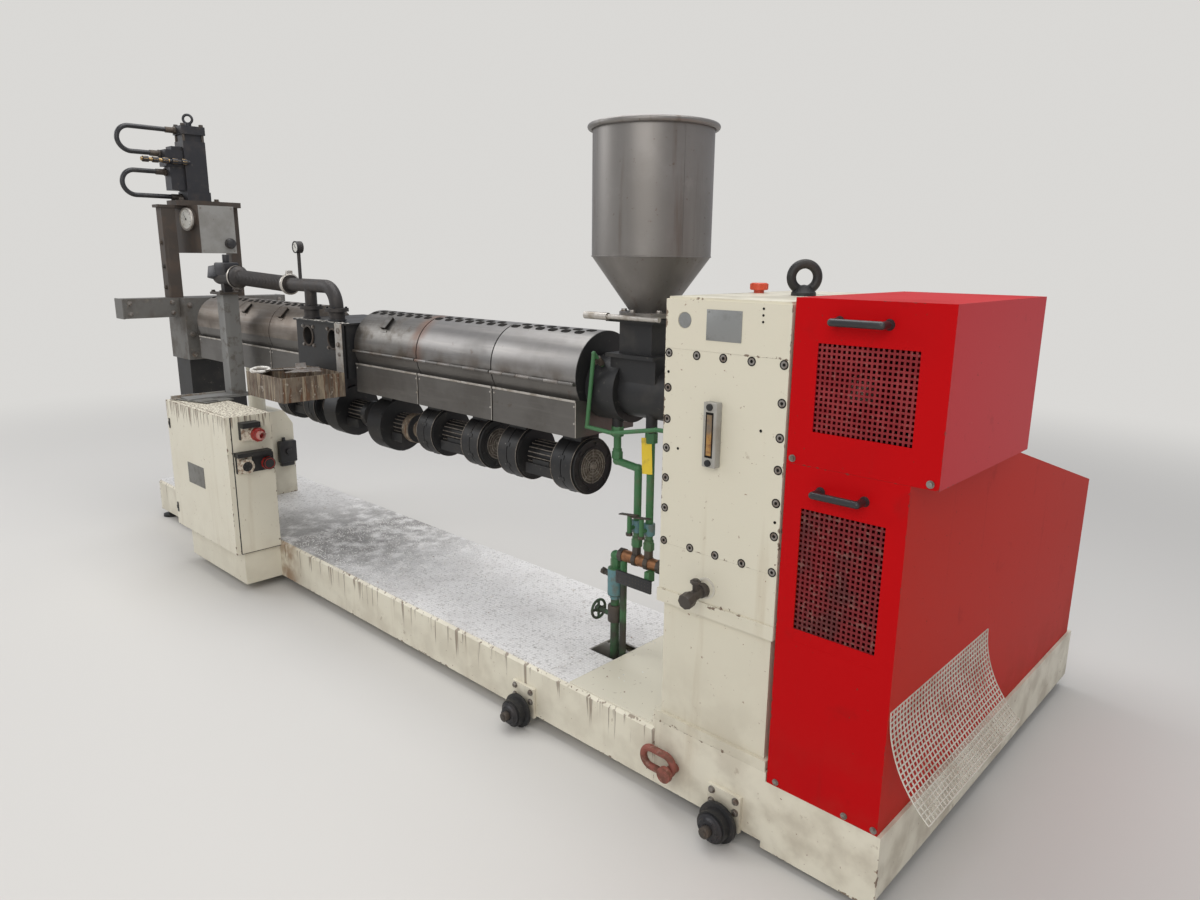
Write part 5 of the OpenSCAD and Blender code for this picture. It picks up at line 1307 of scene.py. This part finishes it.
def make_changer_face():
    bolts, plates = shapes(2)
    places = [(-3800, y, z) for y in (-440, -210, 210, 440) for z in (1256, 1316)]
    hex_bolts(bolts, places, ALONG, 19, 10, 14)
    hex_bolts(bolts, [(-3730, y, z) for z in (1010, 1130, 1300) for y in (-140, 140)], ALONG, 22, 12, 16)
    piece("changer_bolts", bolts, bolt_steel)
    for y0, y1 in ((-480.2, -470), (470, 480.2)):
        bar(plates, (-3922, y0, 1228), (-3798, y1, 1342), 2)
    piece("slide_end_plates", plates, slide_grey, smooth=None)


def make_vacuum_post():
    post, head = shapes(2)
    bar(post, (-3019, -271, 877), (-2941, -193, 1398), 1)
    bar(post, (-3036, -493.4, 866.5), (-2924, -171, 880), 1)
    piece("vacuum_post_face", post, post_grey, smooth=None)
    bar(head, (-3042, -294, 1393), (-2918, -170, 1405), 1)
    hex_bolts(head, [(x, y, 1405) for x, y in corners(-2980, -232, 49, 49)], UP, 17, 10, 12)
    piece("vacuum_post_head", head, oily_iron, smooth=None)


for make in (make_junction_box, make_pressure_gauge, make_valve_row, make_changer_face, make_vacuum_post):
    make()

# Hopper seams and bolts
HOPPER_X = -335


def make_hopper_details():
    seam, bolts = shapes(2)
    for degrees in (-20, 160):
        out = Vector((math.cos(math.radians(degrees)), math.sin(math.radians(degrees)), 0))
        slab(seam, Vector((HOPPER_X, 0, 1800)) + out * 188.2, UP, out, (384, 5, 1.6))
    hoop(seam, (HOPPER_X, 0, 1601.6), UP, 187.6, 2.4, 64, 6)
    piece("hopper_seam", seam, steel_hopper)
    places = [(HOPPER_X + dx, dy, 1428.4) for _, dx, dy in around(6, 84, 0.5)]
    places += [(x, y, 1410) for x, y in corners(HOPPER_X, 0, 86, 86)]
    hex_bolts(bolts, places, UP, 16, 9, 12)
    piece("hopper_bolts", bolts, bolt_steel)


make_hopper_details()

# Drive motor behind the gearbox: cooling fins, and the grille of its cowl
MOTOR_Y, MOTOR_X0, MOTOR_X1 = 850, -320, 320
MOTOR_AXIS_UP = 175


def make_drive_motor_details():
    fins, cowl, dark = shapes(3)
    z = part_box("drive_motor")[0].z / MM + MOTOR_AXIS_UP
    for a, dy, dz in around(44, 180, 0.5):
        over_feet = math.sin(a) < -0.72
        under_box = abs(math.cos(a)) < 0.55 and math.sin(a) > 0
        if not over_feet and not under_box:
            middle = ((MOTOR_X0 + MOTOR_X1) / 2, MOTOR_Y + dy, z + dz)
            slab(fins, middle, ALONG, (0, math.cos(a), math.sin(a)), (520, 4, 12))
    piece("drive_motor_fins", fins, motor_blue, smooth=None)
    grille = (MOTOR_X0 - 61, MOTOR_Y, z)
    outline = [(162, 0), (176, 0), (177, 6), (177, 118), (160, 118)]
    turned(cowl, outline, (MOTOR_X0 - 62, MOTOR_Y, z), ALONG, 48)
    for radius in range(24, 145, 24):
        hoop(cowl, grille, ALONG, radius, 2.2, 36, 6)
    for _, dy, dz in around(6, 160):
        rod(cowl, grille, (MOTOR_X0 - 61, MOTOR_Y + dy, z + dz), 2.4, sides=6)
    piece("drive_motor_cowl", cowl, black_paint)
    # painted shade: dark disc inside the cowl, behind the grille
    rod(dark, (MOTOR_X0 - 59.6, MOTOR_Y, z), (MOTOR_X0 - 60.4, MOTOR_Y, z), 158, sides=40)
    piece("drive_motor_cowl_inside", dark, painted_shade)


make_drive_motor_details()

# Floor, light and world
FLOOR_COLOUR = (0.60, 0.585, 0.56)
FLOOR_HALF = 30.0
BACKDROP = (0.70, 0.69, 0.67, 1)
SKY, SKY_STRENGTH = (0.93, 0.95, 1.0, 1), 0.50
FLOOR_FADE = (3.2, 8.0)


def make_floor():
    mesh = bpy.data.meshes.new("floor")
    shape = bmesh.new()
    bmesh.ops.create_grid(shape, x_segments=1, y_segments=1, size=FLOOR_HALF)
    shape.to_mesh(mesh)
    shape.free()
    floor = bpy.data.objects.new("floor", mesh)
    bpy.context.scene.collection.objects.link(floor)
    mat = make_finish("floor_pale", FLOOR_COLOUR, 0.85, specular=0.1)
    tree = mat.node_tree
    glow = add_node(tree, "ShaderNodeEmission", {"Color": BACKDROP})
    reach = add_node(tree, "ShaderNodeVectorMath", {0: place_in(tree)}, operation="LENGTH")
    fade = spread(tree, reach.outputs["Value"], *FLOOR_FADE)
    paint = tree.nodes["Principled BSDF"]
    blend = add_node(tree, "ShaderNodeMixShader", {0: fade, 1: paint.outputs[0], 2: glow.outputs[0]})
    feed(tree, tree.nodes["Material Output"].inputs["Surface"], blend.outputs[0])
    mesh.materials.append(mat)


def make_world():
    """Soft light from all sides, behind which the camera sees the plain backdrop."""
    world = bpy.data.worlds.new("soft_hall")
    bpy.context.scene.world = world
    world.use_nodes = True
    tree = world.node_tree
    light = tree.nodes["Background"]
    feed(tree, light.inputs["Color"], SKY)
    feed(tree, light.inputs["Strength"], SKY_STRENGTH)
    seen = add_node(tree, "ShaderNodeBackground", {"Color": BACKDROP})
    to_camera = add_node(tree, "ShaderNodeLightPath").outputs["Is Camera Ray"]
    choose = add_node(tree, "ShaderNodeMixShader", {0: to_camera, 1: light.outputs[0], 2: seen.outputs[0]})
    feed(tree, tree.nodes["World Output"].inputs["Surface"], choose.outputs[0])


def make_lamp(name, place, aim, size, power, colour=(1, 1, 1)):
    data = bpy.data.lights.new(name, "AREA")
    data.shape = "RECTANGLE"
    data.size, data.size_y = size
    data.energy = power
    data.color = colour
    lamp = bpy.data.objects.new(name, data)
    lamp.location = place
    lamp.rotation_euler = (Vector(aim) - Vector(place)).to_track_quat("-Z", "Y").to_euler()
    bpy.context.scene.collection.objects.link(lamp)


make_floor()
make_world()
make_lamp("roof_lights", (0.0, 0.0, 5.5), (0, 0, 0), (7.0, 3.0), 230.0)
make_lamp("side_light", (3.5, -5.0, 3.6), (0, 0, 0.8), (4.0, 3.0), 120.0, (1.0, 0.97, 0.92))
make_lamp("far_light", (-5.0, -3.5, 3.8), (-1.5, 0, 1.0), (3.0, 3.0), 90.0)
bpy.context.scene.view_settings.view_transform = "Standard"
